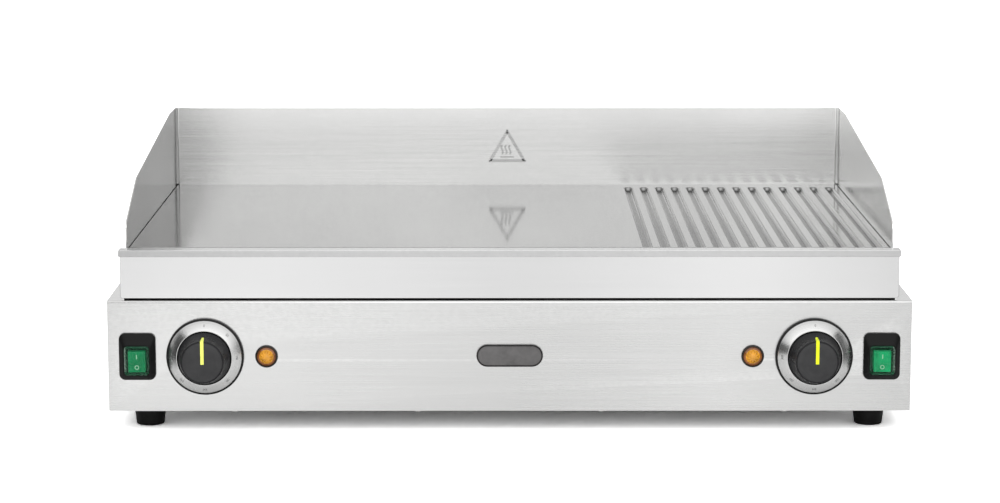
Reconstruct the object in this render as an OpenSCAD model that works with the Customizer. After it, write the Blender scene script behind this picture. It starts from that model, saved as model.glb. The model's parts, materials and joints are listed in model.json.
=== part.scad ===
// Electric two-zone flat top griddle for a counter.
// Units are millimetres, +Z is up, the controls face -Y, and the origin is
// at the centre of the footprint on the surface that the feet stand on.

/* [Housing] */
// Width of the housing
body_w = 730; // [600:1:900]
// Depth of the housing, front panel to back panel
body_d = 466; // [400:1:600]
// Height of the housing, without its feet
body_h = 102; // [90:1:140]
// Thickness of the stainless sheet
sheet = 1.2; // [0.8:0.1:1.5]
// Outer radius of the bend between front panel and deck
bend_r = 2; // [1.6:0.1:4]
// Width of the inner flanges that the back and bottom screw to
flange_w = 14; // [12:1:20]

/* [Feet] */
// Height of a foot
foot_h = 20; // [15:1:40]
// Diameter of a foot at its top
foot_top_d = 30.5; // [24:0.5:36]
// Diameter of a foot at the floor
foot_bottom_d = 23.5; // [20:0.5:32]
// Distance from the housing side to a foot's centre
foot_inset_x = 33; // [30:1:60]
// Distance from the housing front or back to a foot's centre
foot_inset_y = 40; // [28:1:60]

/* [Griddle plate] */
// Thickness of the plate
plate_t = 10; // [8:0.5:15]
// Distance from the front panel to the plate's front edge
plate_front = 47; // [42:1:60]
// Height of the heater bay, deck to underside of the plate
bay_h = 31.4; // [28:0.1:45]
// Number of grooves in the ribbed zone
groove_n = 14; // [6:1:16]
// Distance from groove to groove
groove_pitch = 16.25; // [14:0.05:17]
// Width of a groove at the surface
groove_w = 8.6; // [6:0.1:10]
// Depth of a groove
groove_depth = 3.5; // [2:0.1:5]
// Distance from the plate's right edge to the last groove
groove_margin = 6.5; // [5:0.5:12]
// Distance from the plate's back edge to the grooves' ends
groove_stop = 17.5; // [12:0.5:30]

/* [Splash guard] */
// Width of the deck ledge beside each side guard
ledge_w = 14; // [8:0.5:40]
// Height of the guard above the plate
guard_h = 82; // [60:1:120]
// Distance from the front panel to the front edge of the side guards
guard_front = 33; // [26:1:45]
// Height of the side guards' front edge above the plate
guard_front_h = 24.5; // [15:0.5:35]
// Distance from the front panel to the knee of the side guards
knee_y = 115; // [90:1:150]
// Height of the knee above the plate
knee_h = 54.8; // [40:0.1:58]
// Length of the side guards' full height, measured from their back edge
shoulder_run = 59.4; // [50:0.1:150]
// Open seam between back guard and side guards
seam = 1.6; // [1:0.1:2.5]
// Distance from the housing back to the cooking face of the back guard
guard_setback = 7.2; // [7:0.1:20]
// Side length of the embossed triangle
emblem_w = 38.5; // [30:0.5:60]

/* [Grease tray] */
// How far the tray's front reaches past each side guard
tray_over = 2; // [1:0.5:5]
// Height of the tray's front, without its lip
tray_front_h = 38.3; // [32:0.1:50]
// Distance from the front panel back to the tray's front
tray_set = 2.6; // [2.4:0.1:6]
// Depth of the trough, front to back
trough_d = 60; // [50:1:75]
// Height of the trough's back and end walls
trough_h = 24.3; // [15:0.1:26]
// Gap under the tray's front
tray_gap = 1.7; // [1.2:0.1:3]
// Height of the lip
lip_h = 6; // [4:0.5:10]
// Depth of the lip's top
lip_d = 15.2; // [10:0.1:16]
// How far the lip stands in front of the tray's front
lip_proud = 2; // [1:0.1:2.4]
// How far the lip stands out at each end
lip_over = 1; // [0.5:0.1:3]

/* [Controls] */
// Drop of the controls' centre line below the middle of the front panel
control_drop = 0.2; // [-4:0.1:4]
// Distance from the housing side to a knob's centre
knob_inset = 88.5; // [86:0.5:120]
// Distance from the housing side to a pilot lamp's centre
lamp_inset = 144.2; // [142:0.1:200]
// Distance from the housing side to a switch's centre
switch_inset = 27; // [24:0.5:29]
// Diameter of a dial
dial_d = 70.6; // [60:0.1:74]
// Height of the dial's rim
dial_rim_h = 4; // [3:0.1:6]
// Height of the dial's ring at its inner edge
dial_cone_h = 10; // [7:0.1:12]
// Diameter of a knob's skirt
knob_d = 47.4; // [40:0.1:50]
// Diameter of a knob's face
knob_face_d = 36.2; // [30:0.1:38]
// How far a knob stands out of the front panel
knob_h = 30; // [24:0.5:36]
// Width of the pointer stripe
pointer_w = 3.5; // [2:0.1:5]
// Diameter of a thermostat shaft
shaft_d = 6; // [5:0.1:8]
// Diameter of a pilot lamp's bezel
lamp_d = 20.7; // [16:0.1:24]
// Width of a switch frame
switch_w = 33.2; // [30:0.1:36]
// Height of a switch frame
switch_h = 43; // [40:0.1:48]
// How far a switch window sits below the frame's centre
window_drop = 2.8; // [0:0.1:4]
// Width of a rocker
rocker_w = 15.4; // [14:0.1:16]
// Height of a rocker
rocker_h = 19.3; // [18:0.1:20]
// Swing of a rocker from off to on
rocker_swing = 14; // [10:1:14]

/* [Badge] */
// Width of the badge
badge_w = 60.3; // [40:0.1:80]
// Height of the badge
badge_h = 20.3; // [12:0.1:24]

/* [Back] */
// Distance from the housing side to the cable gland's centre
gland_inset = 115; // [105:1:160]
// Height of the cable gland above the housing's underside
gland_rise = 42; // [34:1:52]
// Radius of the cable gland's bore
gland_bore_r = 4.5; // [4:0.1:6]
// How far the cable gland stands out of the back panel
gland_out = 16; // [14:0.5:24]
// Distance from the housing side to the bonding stud's centre
stud_inset = 65; // [45:1:90]

/* [Hidden] */
$fn = 96;
fit = 0.2;           // clearance between sheet parts that nest
running = 0.05;      // radial clearance of a turning shaft
slide_gap = 0.3;     // clearance of a sliding part
screw_r = 2;         // radius of the small screws
screw_head_r = 4;
screw_head_h = 2.2;
screw_hole_r = screw_r + 0.15;
foot_screw_r = 2.5;
foot_bore_h = 8;     // depth of the recess for the foot's screw head

half_w = body_w / 2;
knob_x = half_w - knob_inset;
lamp_x = half_w - lamp_inset;
switch_x = half_w - switch_inset;
gland_x = half_w - gland_inset;
stud_x = half_w - stud_inset;
control_z = foot_h + body_h / 2 - control_drop;
gland_z = foot_h + gland_rise;
front_y = -(body_d + gland_out - knob_h) / 2;
deck_z = foot_h + body_h;
plate_z = deck_z + bay_h + plate_t;
plate_under = deck_z + bay_h;
guard_top = plate_z + guard_h;
guard_out = half_w - ledge_w;
guard_in = guard_out - sheet;
back_face = body_d - guard_setback;
guard_rear = body_d - guard_setback + sheet + 3.2 + sheet;
shoulder_y = guard_rear - shoulder_run;
guard_flange = 12;
plate_gap = 0.4;
plate_half = guard_in - plate_gap;
plate_back = back_face - plate_gap;
tray_z = deck_z + tray_gap;
strip_top = tray_z + tray_front_h;
lip_top = strip_top + lip_h;
trough_half = guard_in - 3.3;
trough_back = tray_set + trough_d;
bay_front = trough_back + 3.4;
bay_inner = bay_front + sheet + 12.8;
bay_back = back_face - 12.8;
rail_x = guard_in - guard_flange - 4.8;
rail_t = 1.5;
rail_flange = 15;
pad_half = rail_x - rail_t - rail_flange - 2;
pad_z = deck_z + 0.4;
pad_t = 9.6;
shield_z = pad_z + pad_t + 0.2;
switch_z = control_z;
window_z = control_z - window_drop;

// Heater runs, one zone each side of the middle
heater_r = 4.25;
heater_z = plate_under - heater_r;
zone_x = pad_half / 2 + 6;
run_gap = (pad_half - 44) * 70 / 270;
bend_run_r = run_gap / 2;
run_front = bay_inner + 25;
run_back = bay_back - 30 - bend_run_r;
drop_r = 12;
drop_y = run_front - drop_r;
terminal_z = deck_z - 10;
bar_w = 20;
bar_t = 3;
bar_z = heater_z - heater_r - bar_t;
bar_y = [run_front + 65, run_back - 10];
stud_r = 3;

knob_low = 5.5;      // gap from front panel to the knob's skirt
face_inlay = 0.8;
pointer_proud = 0.25;
pointer_sunk = 0.6;
pivot_y = 2;         // rocker pivot behind the panel's front face
pivot_r = 1.5;
cover_out = 10;      // how far the clear switch cover stands out
cover_wall = 0.9;

steel = [0.82, 0.82, 0.81];
bright = [0.90, 0.90, 0.90];
dark_plate = [0.70, 0.70, 0.69];
black = [0.08, 0.08, 0.09];
grey = [0.27, 0.27, 0.28];
yellow = [0.90, 0.88, 0.25];
green = [0.08, 0.55, 0.30];
amber = [0.95, 0.62, 0.15];
brass = [0.80, 0.65, 0.35];
copper = [0.75, 0.45, 0.30];
pad_white = [0.88, 0.86, 0.80];
cream = [0.86, 0.82, 0.70];

// ---------------------------------------------------------------- outlines

function unit(v) = v / norm(v);

// Arc of radius r in corner b of the path a, b, c
function corner_arc(a, b, c, r, n) =
  r <= 0 ? [b] :
  let (
    u = unit(a - b),
    v = unit(c - b),
    half = acos(u * v) / 2,
    m = b + unit(u + v) * r / sin(half),
    s = b + u * r / tan(half) - m,
    e = b + v * r / tan(half) - m,
    a0 = atan2(s.y, s.x),
    turn = (atan2(e.y, e.x) - a0 + 540) % 360 - 180
  )
  [for (i = [0:n]) m + r * [cos(a0 + turn * i / n), sin(a0 + turn * i / n)]];

// Closed outline with each corner rounded to its own radius
function rounded(pts, radii, n = 8) =
  let (last = len(pts) - 1)
  [for (i = [0:last])
    each corner_arc(pts[i == 0 ? last : i - 1], pts[i], pts[i == last ? 0 : i + 1], radii[i], n)];

// ---------------------------------------------------------------- placing

// Local y runs from the front panel (0) to the back
module in_frame() {
  translate([0, front_y, 0]) children();
}

// side is -1 for the left-hand copy, 1 for the right-hand one
module on_side(side) {
  in_frame() mirror([side < 0 ? 1 : 0, 0, 0]) children();
}

module span(x0, x1, y0, y1, z0, z1) {
  translate([x0, y0, z0]) cube([x1 - x0, y1 - y0, z1 - z0]);
}

// 2D x,y become Y,Z and the shape is extruded along X
module along_x(x0, x1) {
  translate([x0, 0, 0]) rotate([90, 0, 90]) linear_extrude(x1 - x0) children();
}

// 2D x,y become X,Z and the shape is extruded along Y
module along_y(y0, y1) {
  translate([0, y1, 0]) rotate([90, 0, 0]) linear_extrude(y1 - y0) children();
}

module rod_y(x, z, r, y0, y1) {
  translate([x, y1, z]) rotate([90, 0, 0]) cylinder(r = r, h = y1 - y0);
}

module hex_y(x, z, across, y0, y1) {
  translate([x, y1, z]) rotate([90, 0, 0]) cylinder(r = across / sqrt(3), h = y1 - y0, $fn = 6);
}

module rod_z(x, y, r, z0, z1) {
  translate([x, y, z0]) cylinder(r = r, h = z1 - z0);
}

module hex_z(x, y, across, z0, z1) {
  translate([x, y, z0]) cylinder(r = across / sqrt(3), h = z1 - z0, $fn = 6);
}

// Outline of radius against height in front of the panel, turned about Y
module turned(x, z, pts) {
  translate([x, 0, z]) rotate([90, 0, 0]) rotate_extrude() polygon(pts);
}

module round_rect(w, h, r) {
  square([w - 2 * r, h], center = true);
  square([w, h - 2 * r], center = true);
  for (sx = [-1, 1], sz = [-1, 1]) {
    translate([sx * (w / 2 - r), sz * (h / 2 - r)]) circle(r);
  }
}

// Path with each inner corner replaced by a short curve that starts reach before it
function softened(path, reach) = concat(
  [path[0]],
  [for (i = [1:len(path) - 2])
    let (
      p = path[i],
      back = path[i - 1] - p,
      ahead = path[i + 1] - p,
      a = p + unit(back) * min(reach, norm(back) * 0.45),
      b = p + unit(ahead) * min(reach, norm(ahead) * 0.45)
    )
    each [for (t = [0, 0.5, 1]) (1 - t) * (1 - t) * a + 2 * t * (1 - t) * p + t * t * b]],
  [path[len(path) - 1]]
);

function heading(path, i) =
  let (last = len(path) - 1)
  i == 0 ? unit(path[1] - path[0]) :
  i == last ? unit(path[last] - path[last - 1]) :
  unit(unit(path[i] - path[i - 1]) + unit(path[i + 1] - path[i]));

// Side vectors of the rings, carried along the path without twist
function sides_along(path, i = 0, last_side = [1, 0, 0]) =
  i == len(path) ? [] :
  let (
    h = heading(path, i),
    flat = last_side - (last_side * h) * h,
    side = norm(flat) < 0.01 ? unit(cross(h, [0, 1, 0.3])) : unit(flat)
  )
  concat([side], sides_along(path, i + 1, side));

// Tube of the given ring radii through the path's points
module tube(path, radii, n = 8) {
  last = len(path) - 1;
  sides = sides_along(path);
  rings = [for (i = [0:last], k = [0:n - 1])
    let (h = heading(path, i), up = cross(h, sides[i]), a = 360 * k / n)
    path[i] + radii[i] * (cos(a) * sides[i] + sin(a) * up)];
  faces = concat(
    [[for (k = [0:n - 1]) k]],
    [for (i = [0:last - 1], k = [0:n - 1])
      let (a = i * n + k, b = i * n + (k + 1) % n)
      [a, a + n, b + n, b]],
    [[for (k = [n - 1:-1:0]) last * n + k]]
  );
  polyhedron(rings, faces);
}

module wire(path, r, reach = 10) {
  soft = softened(path, reach);
  tube(soft, [for (p = soft) r]);
}

// ---------------------------------------------------------------- housing

base_screw_x = [body_w * 0.1144, body_w * 0.3438];
trim_screw_x = body_w * 0.3822;
base_screw_front = sheet + flange_w / 2;
base_screw_back = body_d - sheet - flange_w / 2;
flange_z = foot_h + sheet + fit;   // underside of the flanges on the bottom plate
back_screw_z = [foot_h + 25, deck_z - 27];
back_screw_x = half_w - sheet - flange_w / 2;
top_screw_x = body_w / 5;
top_screw_z = deck_z - sheet - flange_w / 2;
guard_screw_y = [for (i = [0:3]) bay_inner + 20 + i * (bay_back - bay_inner - 40) / 3];
guard_screw_x = guard_in - guard_flange / 2;
back_guard_screw_x = [-guard_in * 0.6, 0, guard_in * 0.6];
back_guard_screw_y = back_face - guard_flange / 2;
foot_x = half_w - foot_inset_x;
foot_y = [foot_inset_y, body_d - foot_inset_y];
vent_slot_w = 4;

module base_screw_places() {
  for (y = [base_screw_front, base_screw_back], x = base_screw_x, s = [-1, 1]) {
    translate([s * x, y, 0]) children();
  }
}

module trim_screw_places() {
  for (s = [-1, 1]) translate([s * trim_screw_x, base_screw_front, 0]) children();
}

module back_screw_places() {
  for (s = [-1, 1]) {
    for (z = back_screw_z) translate([s * back_screw_x, 0, z]) children();
    translate([s * top_screw_x, 0, top_screw_z]) children();
  }
}

module guard_screw_places() {
  for (s = [-1, 1], y = guard_screw_y) translate([s * guard_screw_x, y, 0]) children();
  for (x = back_guard_screw_x) translate([x, back_guard_screw_y, 0]) children();
}

// Ways through the deck for the heater ends and the sensor tube
module deck_ways(grow, z0, z1) {
  for (s = [-1, 1]) {
    for (x = [zone_x - 1.5 * run_gap, zone_x + 1.5 * run_gap]) {
      rod_z(s * x, drop_y, heater_r + grow, z0, z1);
    }
    rod_z(s * zone_x, sensor_drop_y, 1 + grow, z0, z1);
  }
}

module housing_solid(inset, back, low) {
  top = deck_z - inset;
  along_x(-half_w + inset, half_w - inset)
    polygon(rounded([[inset, low], [back, low], [back, top], [inset, top]],
                    [0, 0, 0, bend_r - inset]));
}

module switch_opening(grow, y0, y1) {
  translate([switch_x, 0, window_z]) along_y(y0, y1)
    square([switch_body_w + grow, switch_body_h + grow], center = true);
}

module housing_shell() color(steel) in_frame() difference() {
  union() {
    difference() {
      housing_solid(0, body_d, foot_h);
      housing_solid(sheet, body_d + 1, foot_h - 1);
    }
    span(-half_w + sheet, half_w - sheet, sheet, sheet + flange_w, flange_z, flange_z + sheet);
    for (s = [0, 1]) mirror([s, 0, 0]) {
      span(half_w - flange_w, half_w - sheet, sheet, rear_flange_y, flange_z, flange_z + sheet);
      span(half_w - sheet - flange_w, half_w - sheet, rear_flange_y, rear_flange_y + sheet,
           flange_z, deck_z - sheet);
    }
    span(-half_w + sheet, half_w - sheet, rear_flange_y, rear_flange_y + sheet,
         deck_z - sheet - flange_w, deck_z - sheet);
  }
  for (s = [-1, 1]) {
    rod_y(s * knob_x, control_z, bush_r + fit, -1, sheet + 1);
    rod_y(s * lamp_x, control_z, lamp_body_r + fit, -1, sheet + 1);
  }
  for (s = [0, 1]) mirror([s, 0, 0]) switch_opening(2 * fit, -1, sheet + 1);
  deck_ways(7, deck_z - sheet - 1, deck_z + 1);
  guard_screw_places() rod_z(0, 0, screw_hole_r, deck_z - sheet - 1, deck_z + 1);
  base_screw_places() rod_z(0, 0, screw_hole_r, foot_h, foot_h + 4 * sheet);
  trim_screw_places() rod_z(0, 0, screw_hole_r, foot_h, foot_h + 4 * sheet);
  back_screw_places() rod_y(0, 0, screw_hole_r, rear_flange_y - 1, body_d + 1);
}

rear_flange_y = body_d - 2 * sheet - fit;
bush_r = shaft_d / 2 + 2;
lamp_body_r = lamp_d / 2 - 4.05;
switch_body_w = rocker_w + 5.6;
switch_body_h = rocker_h + 8.3;
sensor_drop_y = bay_inner + 9;

module back_panel() color(steel) in_frame() difference() {
  union() {
    span(-half_w + sheet + fit, half_w - sheet - fit, body_d - sheet, body_d,
         flange_z, deck_z - sheet - fit);
    span(-half_w + 2 * flange_w, half_w - 2 * flange_w, body_d - sheet - flange_w, body_d,
         flange_z, flange_z + sheet);
  }
  base_screw_places() rod_z(0, 0, screw_hole_r, foot_h, flange_z + 2 * sheet);
  back_screw_places() rod_y(0, 0, screw_hole_r, body_d - sheet - 1, body_d + 1);
  rod_y(-gland_x, gland_z, gland_r + fit, body_d - sheet - 1, body_d + 1);
  rod_y(stud_x, gland_z, stud_r + fit, body_d - sheet - 1, body_d + 1);
  for (s = [-1, 1], row = [0:5]) {
    translate([s * vent_x, 0, control_z + (row - 2.5) * 2.4 * vent_slot_w])
      along_y(body_d - sheet - 1, body_d + 1) round_rect(vent_len, vent_slot_w, vent_slot_w / 2 - 0.01);
  }
}

vent_x = body_w * 0.11;
vent_len = 90;
gland_r = gland_bore_r + 3.5;

module bottom_plate() color(steel) in_frame() difference() {
  span(-half_w + sheet + fit, half_w - sheet - fit, sheet + fit, body_d,
       foot_h, foot_h + sheet);
  base_screw_places() rod_z(0, 0, screw_hole_r, foot_h - 1, foot_h + sheet + 1);
  trim_screw_places() rod_z(0, 0, screw_hole_r, foot_h - 1, foot_h + sheet + 1);
  for (s = [-1, 1], y = foot_y) {
    rod_z(s * foot_x, y, foot_screw_r + fit, foot_h - 1, foot_h + sheet + 1);
  }
  for (s = [-1, 1], row = [0:6]) {
    translate([s * body_w / 4, body_d / 2 + (row - 3) * 14, foot_h - 1])
      linear_extrude(sheet + 2) round_rect(vent_len, vent_slot_w, vent_slot_w / 2 - 0.01);
  }
}

module pan_screw_down(head_r, r, head_z, tip_z) {
  rod_z(0, 0, head_r, head_z, head_z + screw_head_h);
  rod_z(0, 0, r, tip_z, head_z);
}

module back_screws() color(bright) in_frame() back_screw_places() {
  rod_y(0, 0, screw_head_r, body_d, body_d + screw_head_h);
  rod_y(0, 0, screw_r, rear_flange_y - 5, body_d);
}

module base_screws() color(bright) in_frame() {
  base_screw_places() {
    rod_z(0, 0, screw_head_r, foot_h - screw_head_h, foot_h);
    rod_z(0, 0, screw_r, foot_h, foot_h + 9);
  }
  trim_screw_places() {
    rod_z(0, 0, screw_head_r - 1, foot_h - screw_head_h + 0.4, foot_h);
    rod_z(0, 0, screw_r, foot_h, foot_h + 7);
  }
}

module guard_screws() color(bright) in_frame() guard_screw_places()
  pan_screw_down(screw_head_r, screw_r, deck_z + sheet, deck_z - 6);

// ---------------------------------------------------------------- feet

module foot(sx, y) color(black) in_frame() translate([sx * foot_x, y, 0]) difference() {
  rotate_extrude() polygon([
    [foot_screw_r + fit, foot_h], [foot_screw_r + fit, foot_bore_h],
    [foot_screw_r + 3.5, foot_bore_h], [foot_screw_r + 3.5, 0],
    [foot_bottom_d / 2 - 1, 0], [foot_bottom_d / 2, 1],
    [foot_top_d / 2, foot_h - 1], [foot_top_d / 2, foot_h]
  ]);
}

module foot_screws() color(bright) in_frame() {
  for (s = [-1, 1], y = foot_y) translate([s * foot_x, y, 0]) {
    rod_z(0, 0, foot_screw_r + 2.2, foot_bore_h - 3, foot_bore_h);
    rod_z(0, 0, foot_screw_r, foot_bore_h, foot_h + sheet);
    hex_z(0, 0, 8, foot_h + sheet, foot_h + sheet + 4);
  }
}

// ---------------------------------------------------------------- splash guard

apron_y = tray_set + 2.4;       // front of the side guard's low part
apron_top = strip_top - 2;

module guard_side(side) color(steel) on_side(side) difference() {
  union() {
    along_x(guard_in, guard_out) polygon(rounded(
      [[apron_y, deck_z], [guard_rear, deck_z], [guard_rear, guard_top],
       [shoulder_y, guard_top], [knee_y, plate_z + knee_h],
       [guard_front, plate_z + guard_front_h], [guard_front, apron_top], [apron_y, apron_top]],
      [0, 0, 1.5, 12, 12, 8, 2, 1]));
    span(guard_in - guard_flange, guard_in, bay_inner - 6, bay_back, deck_z, deck_z + sheet);
    span(guard_in - seam - 13, guard_in, guard_rear - sheet, guard_rear, deck_z + sheet, guard_top);
  }
  for (y = guard_screw_y) rod_z(guard_screw_x, y, screw_hole_r, deck_z - 1, deck_z + sheet + 1);
}

module left_guard() guard_side(-1);
module right_guard() guard_side(1);

// Bars and dots of the embossed warning triangle, in X,Z about its centroid
module emblem_shape() {
  bar = emblem_w * 0.08;
  corner = emblem_w * 0.48;
  for (a = [0:2]) rotate(90 + 120 * a) {
    translate([corner, 0]) circle(bar / 2);
    rotate(30) translate([-corner / 2, 0]) square([bar, corner * sqrt(3)], center = true);
  }
  for (i = [-1:1]) translate([i * emblem_w * 0.1, emblem_w * 0.03]) {
    square([emblem_w * 0.045, emblem_w * 0.22], center = true);
  }
  translate([0, -emblem_w * 0.155]) square([emblem_w * 0.34, emblem_w * 0.05], center = true);
}

emblem_z = plate_z + guard_h * 0.44;

module back_guard() color(steel) in_frame() difference() {
  edge = guard_in - seam;
  union() {
    span(-edge, edge, back_face, back_face + sheet, deck_z + sheet, guard_top);
    span(-edge, edge, back_face - guard_flange, back_face + sheet, deck_z, deck_z + sheet);
    span(-edge, edge, back_face + sheet, back_face + 2 * sheet, guard_top - 8, guard_top);
    for (s = [0, 1]) mirror([s, 0, 0]) {
      span(edge - sheet, edge, back_face, guard_rear - sheet - fit, deck_z + 2 * sheet, guard_top);
    }
    translate([0, 0, emblem_z]) along_y(back_face - 0.5, back_face) emblem_shape();
  }
  for (x = back_guard_screw_x) {
    rod_z(x, back_guard_screw_y, screw_hole_r, deck_z - 1, deck_z + sheet + 1);
  }
}

// ---------------------------------------------------------------- plate

module groove(x, y0, y1) {
  floor_w = groove_w - 0.9 * groove_depth;
  along_y_profile = [
    [-groove_w / 2 - 0.26, 1], [-floor_w / 2, -groove_depth],
    [floor_w / 2, -groove_depth], [groove_w / 2 + 0.26, 1]
  ];
  translate([x, 0, plate_z]) {
    along_y(y0, y1) polygon(along_y_profile);
    translate([0, y1, -groove_depth])
      cylinder(r1 = floor_w / 2, r2 = groove_w / 2 + 0.26, h = groove_depth + 1);
  }
}

module griddle_plate() color(dark_plate) in_frame() difference() {
  span(-plate_half, plate_half, plate_front, plate_back, plate_under, plate_z);
  for (i = [0:groove_n - 1]) {
    groove(plate_half - groove_margin - groove_w / 2 - i * groove_pitch,
           plate_front - 1, plate_back - groove_stop - groove_w / 2);
  }
}

// Channel that carries a long side of the plate
module plate_rail(side) color(steel) on_side(side) {
  span(rail_x - rail_t, rail_x, bay_inner, bay_back, deck_z, plate_under);
  span(rail_x - rail_t - rail_flange, rail_x - rail_t, bay_inner, bay_back, deck_z, deck_z + rail_t);
  span(rail_x - rail_t - rail_flange, rail_x - rail_t, bay_inner, bay_back,
       plate_under - rail_t, plate_under);
}

module left_plate_rail() plate_rail(-1);
module right_plate_rail() plate_rail(1);

module bay_front_wall() color(steel) in_frame() {
  span(-guard_in + fit, guard_in - fit, bay_front, bay_front + sheet, deck_z, plate_under);
  for (z = [deck_z, plate_under - sheet]) {
    span(-pad_half, pad_half, bay_front + sheet, bay_front + sheet + 6, z, z + sheet);
  }
}

// ---------------------------------------------------------------- heating

module insulation_pad() color(pad_white) in_frame() difference() {
  span(-pad_half, pad_half, bay_inner, bay_back, pad_z, pad_z + pad_t);
  deck_ways(3, pad_z - 1, pad_z + pad_t + 1);
}

module heat_shield() color(bright) in_frame() difference() {
  span(-pad_half, pad_half, bay_inner, bay_back, shield_z, shield_z + sheet);
  deck_ways(3, shield_z - 1, shield_z + sheet + 1);
}

// Points of an arc in the plane of u and v, in steps of turn / n
function arc_points(centre, r, u, v, a0, turn, n) =
  [for (i = [0:n]) let (a = a0 + turn * i / n) centre + r * (cos(a) * u + sin(a) * v)];

// Four runs under the plate, joined by bends, with both ends turned down to a terminal pin
module heater(side) color(grey) on_side(side) translate([zone_x, 0, heater_z]) {
  run_x = 1.5 * run_gap;
  across = [1, 0, 0];
  ahead = [0, 1, 0];
  up = [0, 0, 1];
  end_z = terminal_z - heater_z;
  pin_r = 1.5;
  path = concat(
    [[-run_x, drop_y, end_z - 8], [-run_x, drop_y, end_z - 0.01], [-run_x, drop_y, end_z]],
    arc_points([-run_x, run_front, -drop_r], drop_r, ahead, up, 180, -90, 4),
    arc_points([-run_gap, run_back, 0], bend_run_r, across, ahead, 180, -180, 8),
    arc_points([0, run_front + bend_run_r, 0], bend_run_r, across, ahead, 180, 180, 8),
    arc_points([run_gap, run_back, 0], bend_run_r, across, ahead, 180, -180, 8),
    arc_points([run_x, run_front, -drop_r], drop_r, ahead, up, 90, 90, 4),
    [[run_x, drop_y, end_z], [run_x, drop_y, end_z - 0.01], [run_x, drop_y, end_z - 8]]
  );
  last = len(path) - 1;
  tube(path, [for (i = [0:last]) i < 2 || i > last - 2 ? pin_r : heater_r], 12);
}

module left_heater() heater(-1);
module right_heater() heater(1);

module clamp_stud_places() {
  for (y = bar_y, s = [-1, 1]) translate([zone_x + s * run_gap, y, 0]) children();
}

module clamp_bars(side) color(steel) on_side(side) difference() {
  for (y = bar_y) {
    span(zone_x - 1.5 * run_gap - 12, zone_x + 1.5 * run_gap + 12, y - bar_w / 2, y + bar_w / 2,
         bar_z, bar_z + bar_t);
  }
  clamp_stud_places() rod_z(0, 0, stud_r + fit, bar_z - 1, bar_z + bar_t + 1);
}

module left_clamp_bars() clamp_bars(-1);
module right_clamp_bars() clamp_bars(1);

module clamp_fasteners() color(bright) {
  for (side = [-1, 1]) on_side(side) clamp_stud_places() {
    rod_z(0, 0, stud_r, bar_z - 6, plate_under);
    hex_z(0, 0, 10, bar_z - 5, bar_z);
  }
}

// Sensor bulb under the plate, drawn out into the thin tube that runs to the thermostat
module sensor(side) color(copper) on_side(side) {
  bulb_r = 3;
  tube_r = 0.9;
  bulb_z = plate_under - bulb_r - 0.2;
  bulb_y = run_front + bend_run_r + 60;
  lead = softened([
    [zone_x, bulb_y - 5, bulb_z],
    [zone_x, bulb_y - 16, shield_z + 6],
    [zone_x, sensor_drop_y, shield_z + 6],
    [zone_x, sensor_drop_y, deck_z - 14],
    [knob_x - 8, sensor_drop_y - 20, control_z + 26],
    [knob_x, 44, control_z + 10],
    [knob_x, thermostat_back, control_z + 10]
  ], 6);
  bulb = [[zone_x, bulb_y + 90, bulb_z], [zone_x, bulb_y, bulb_z], [zone_x, bulb_y - 3, bulb_z]];
  tube(concat(bulb, lead), concat([bulb_r, bulb_r, tube_r], [for (p = lead) tube_r]), 10);
}

module left_sensor() sensor(-1);
module right_sensor() sensor(1);

// ---------------------------------------------------------------- thermostats and knobs

thermostat_back = 31;
shaft_in = 12;
shaft_r = shaft_d / 2;
knob_top = knob_h - pointer_proud;
shaft_round = knob_low + 4;   // the shaft's flat starts here
shaft_end = knob_h - 7;
bore_slack = 0.02;            // the knob's bore grips the flatted end of the shaft

module thermostat(side) color(cream) on_side(side) difference() {
  union() {
    span(knob_x - 18, knob_x + 18, sheet, thermostat_back, control_z - 18, control_z + 18);
    rod_y(knob_x, control_z, bush_r, -3, sheet);
    hex_y(knob_x, control_z, 14, -2.6, 0);
  }
  rod_y(knob_x, control_z, shaft_r + running, -4, shaft_in + fit);
}

module left_thermostat() thermostat(-1);
module right_thermostat() thermostat(1);

module thermostat_shaft(side) color(bright) on_side(side) {
  rod_y(knob_x, control_z, shaft_r, -shaft_round, shaft_in);
  translate([knob_x, 0, control_z]) along_y(-shaft_end, -shaft_round) shaft_flat(shaft_r);
}

// Round shaft end with a flat on its lower side
module shaft_flat(r) {
  intersection() {
    circle(r);
    translate([-r, shaft_r * 0.45 - r]) square([2 * r, 2 * r]);
  }
}

module left_shaft() thermostat_shaft(-1);
module right_shaft() thermostat_shaft(1);

dial_r = dial_d / 2;
ring_out = dial_r - 2;
ring_in = knob_d / 2 + 0.9;

module dial_rim(side) color(black) on_side(side) turned(knob_x, control_z, [
  [12, 0], [dial_r, 0], [dial_r - 0.3, dial_rim_h - 0.8], [dial_r - 1, dial_rim_h],
  [ring_out + 0.1, dial_rim_h], [ring_out + 0.1, 1.5], [12, 1.5]
]);

module left_dial_rim() dial_rim(-1);
module right_dial_rim() dial_rim(1);

module dial_ring(side) color(steel) on_side(side) turned(knob_x, control_z, [
  [ring_in, 1.5], [ring_out, 1.5], [ring_out, dial_rim_h],
  [ring_in + 0.8, dial_cone_h], [ring_in + 0.4, dial_cone_h + 0.15], [ring_in, dial_cone_h - 0.2]
]);

module left_dial_ring() dial_ring(-1);
module right_dial_ring() dial_ring(1);

knob_r = knob_d / 2;
knob_neck_r = knob_face_d / 2 + 1.4;

// Side of the knob: a straight skirt, then a hollow curve up to the face's rim
function knob_side(grow) = concat(
  [[knob_r + grow, knob_low], [knob_r + grow, knob_low + 6]],
  [for (i = [0:8])
    let (t = i / 8, top = knob_top - 1.2)
    [knob_neck_r + grow + (knob_r - 0.3 - knob_neck_r) * pow(1 - t, 2),
     knob_low + 6.6 + (top - knob_low - 6.6) * t]],
  [[knob_neck_r - 0.9 + grow, knob_top + grow]]
);

module knob_solid(grow) {
  turned(knob_x, control_z, concat([[0, knob_low]], knob_side(grow), [[0, knob_top + grow]]));
}

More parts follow.
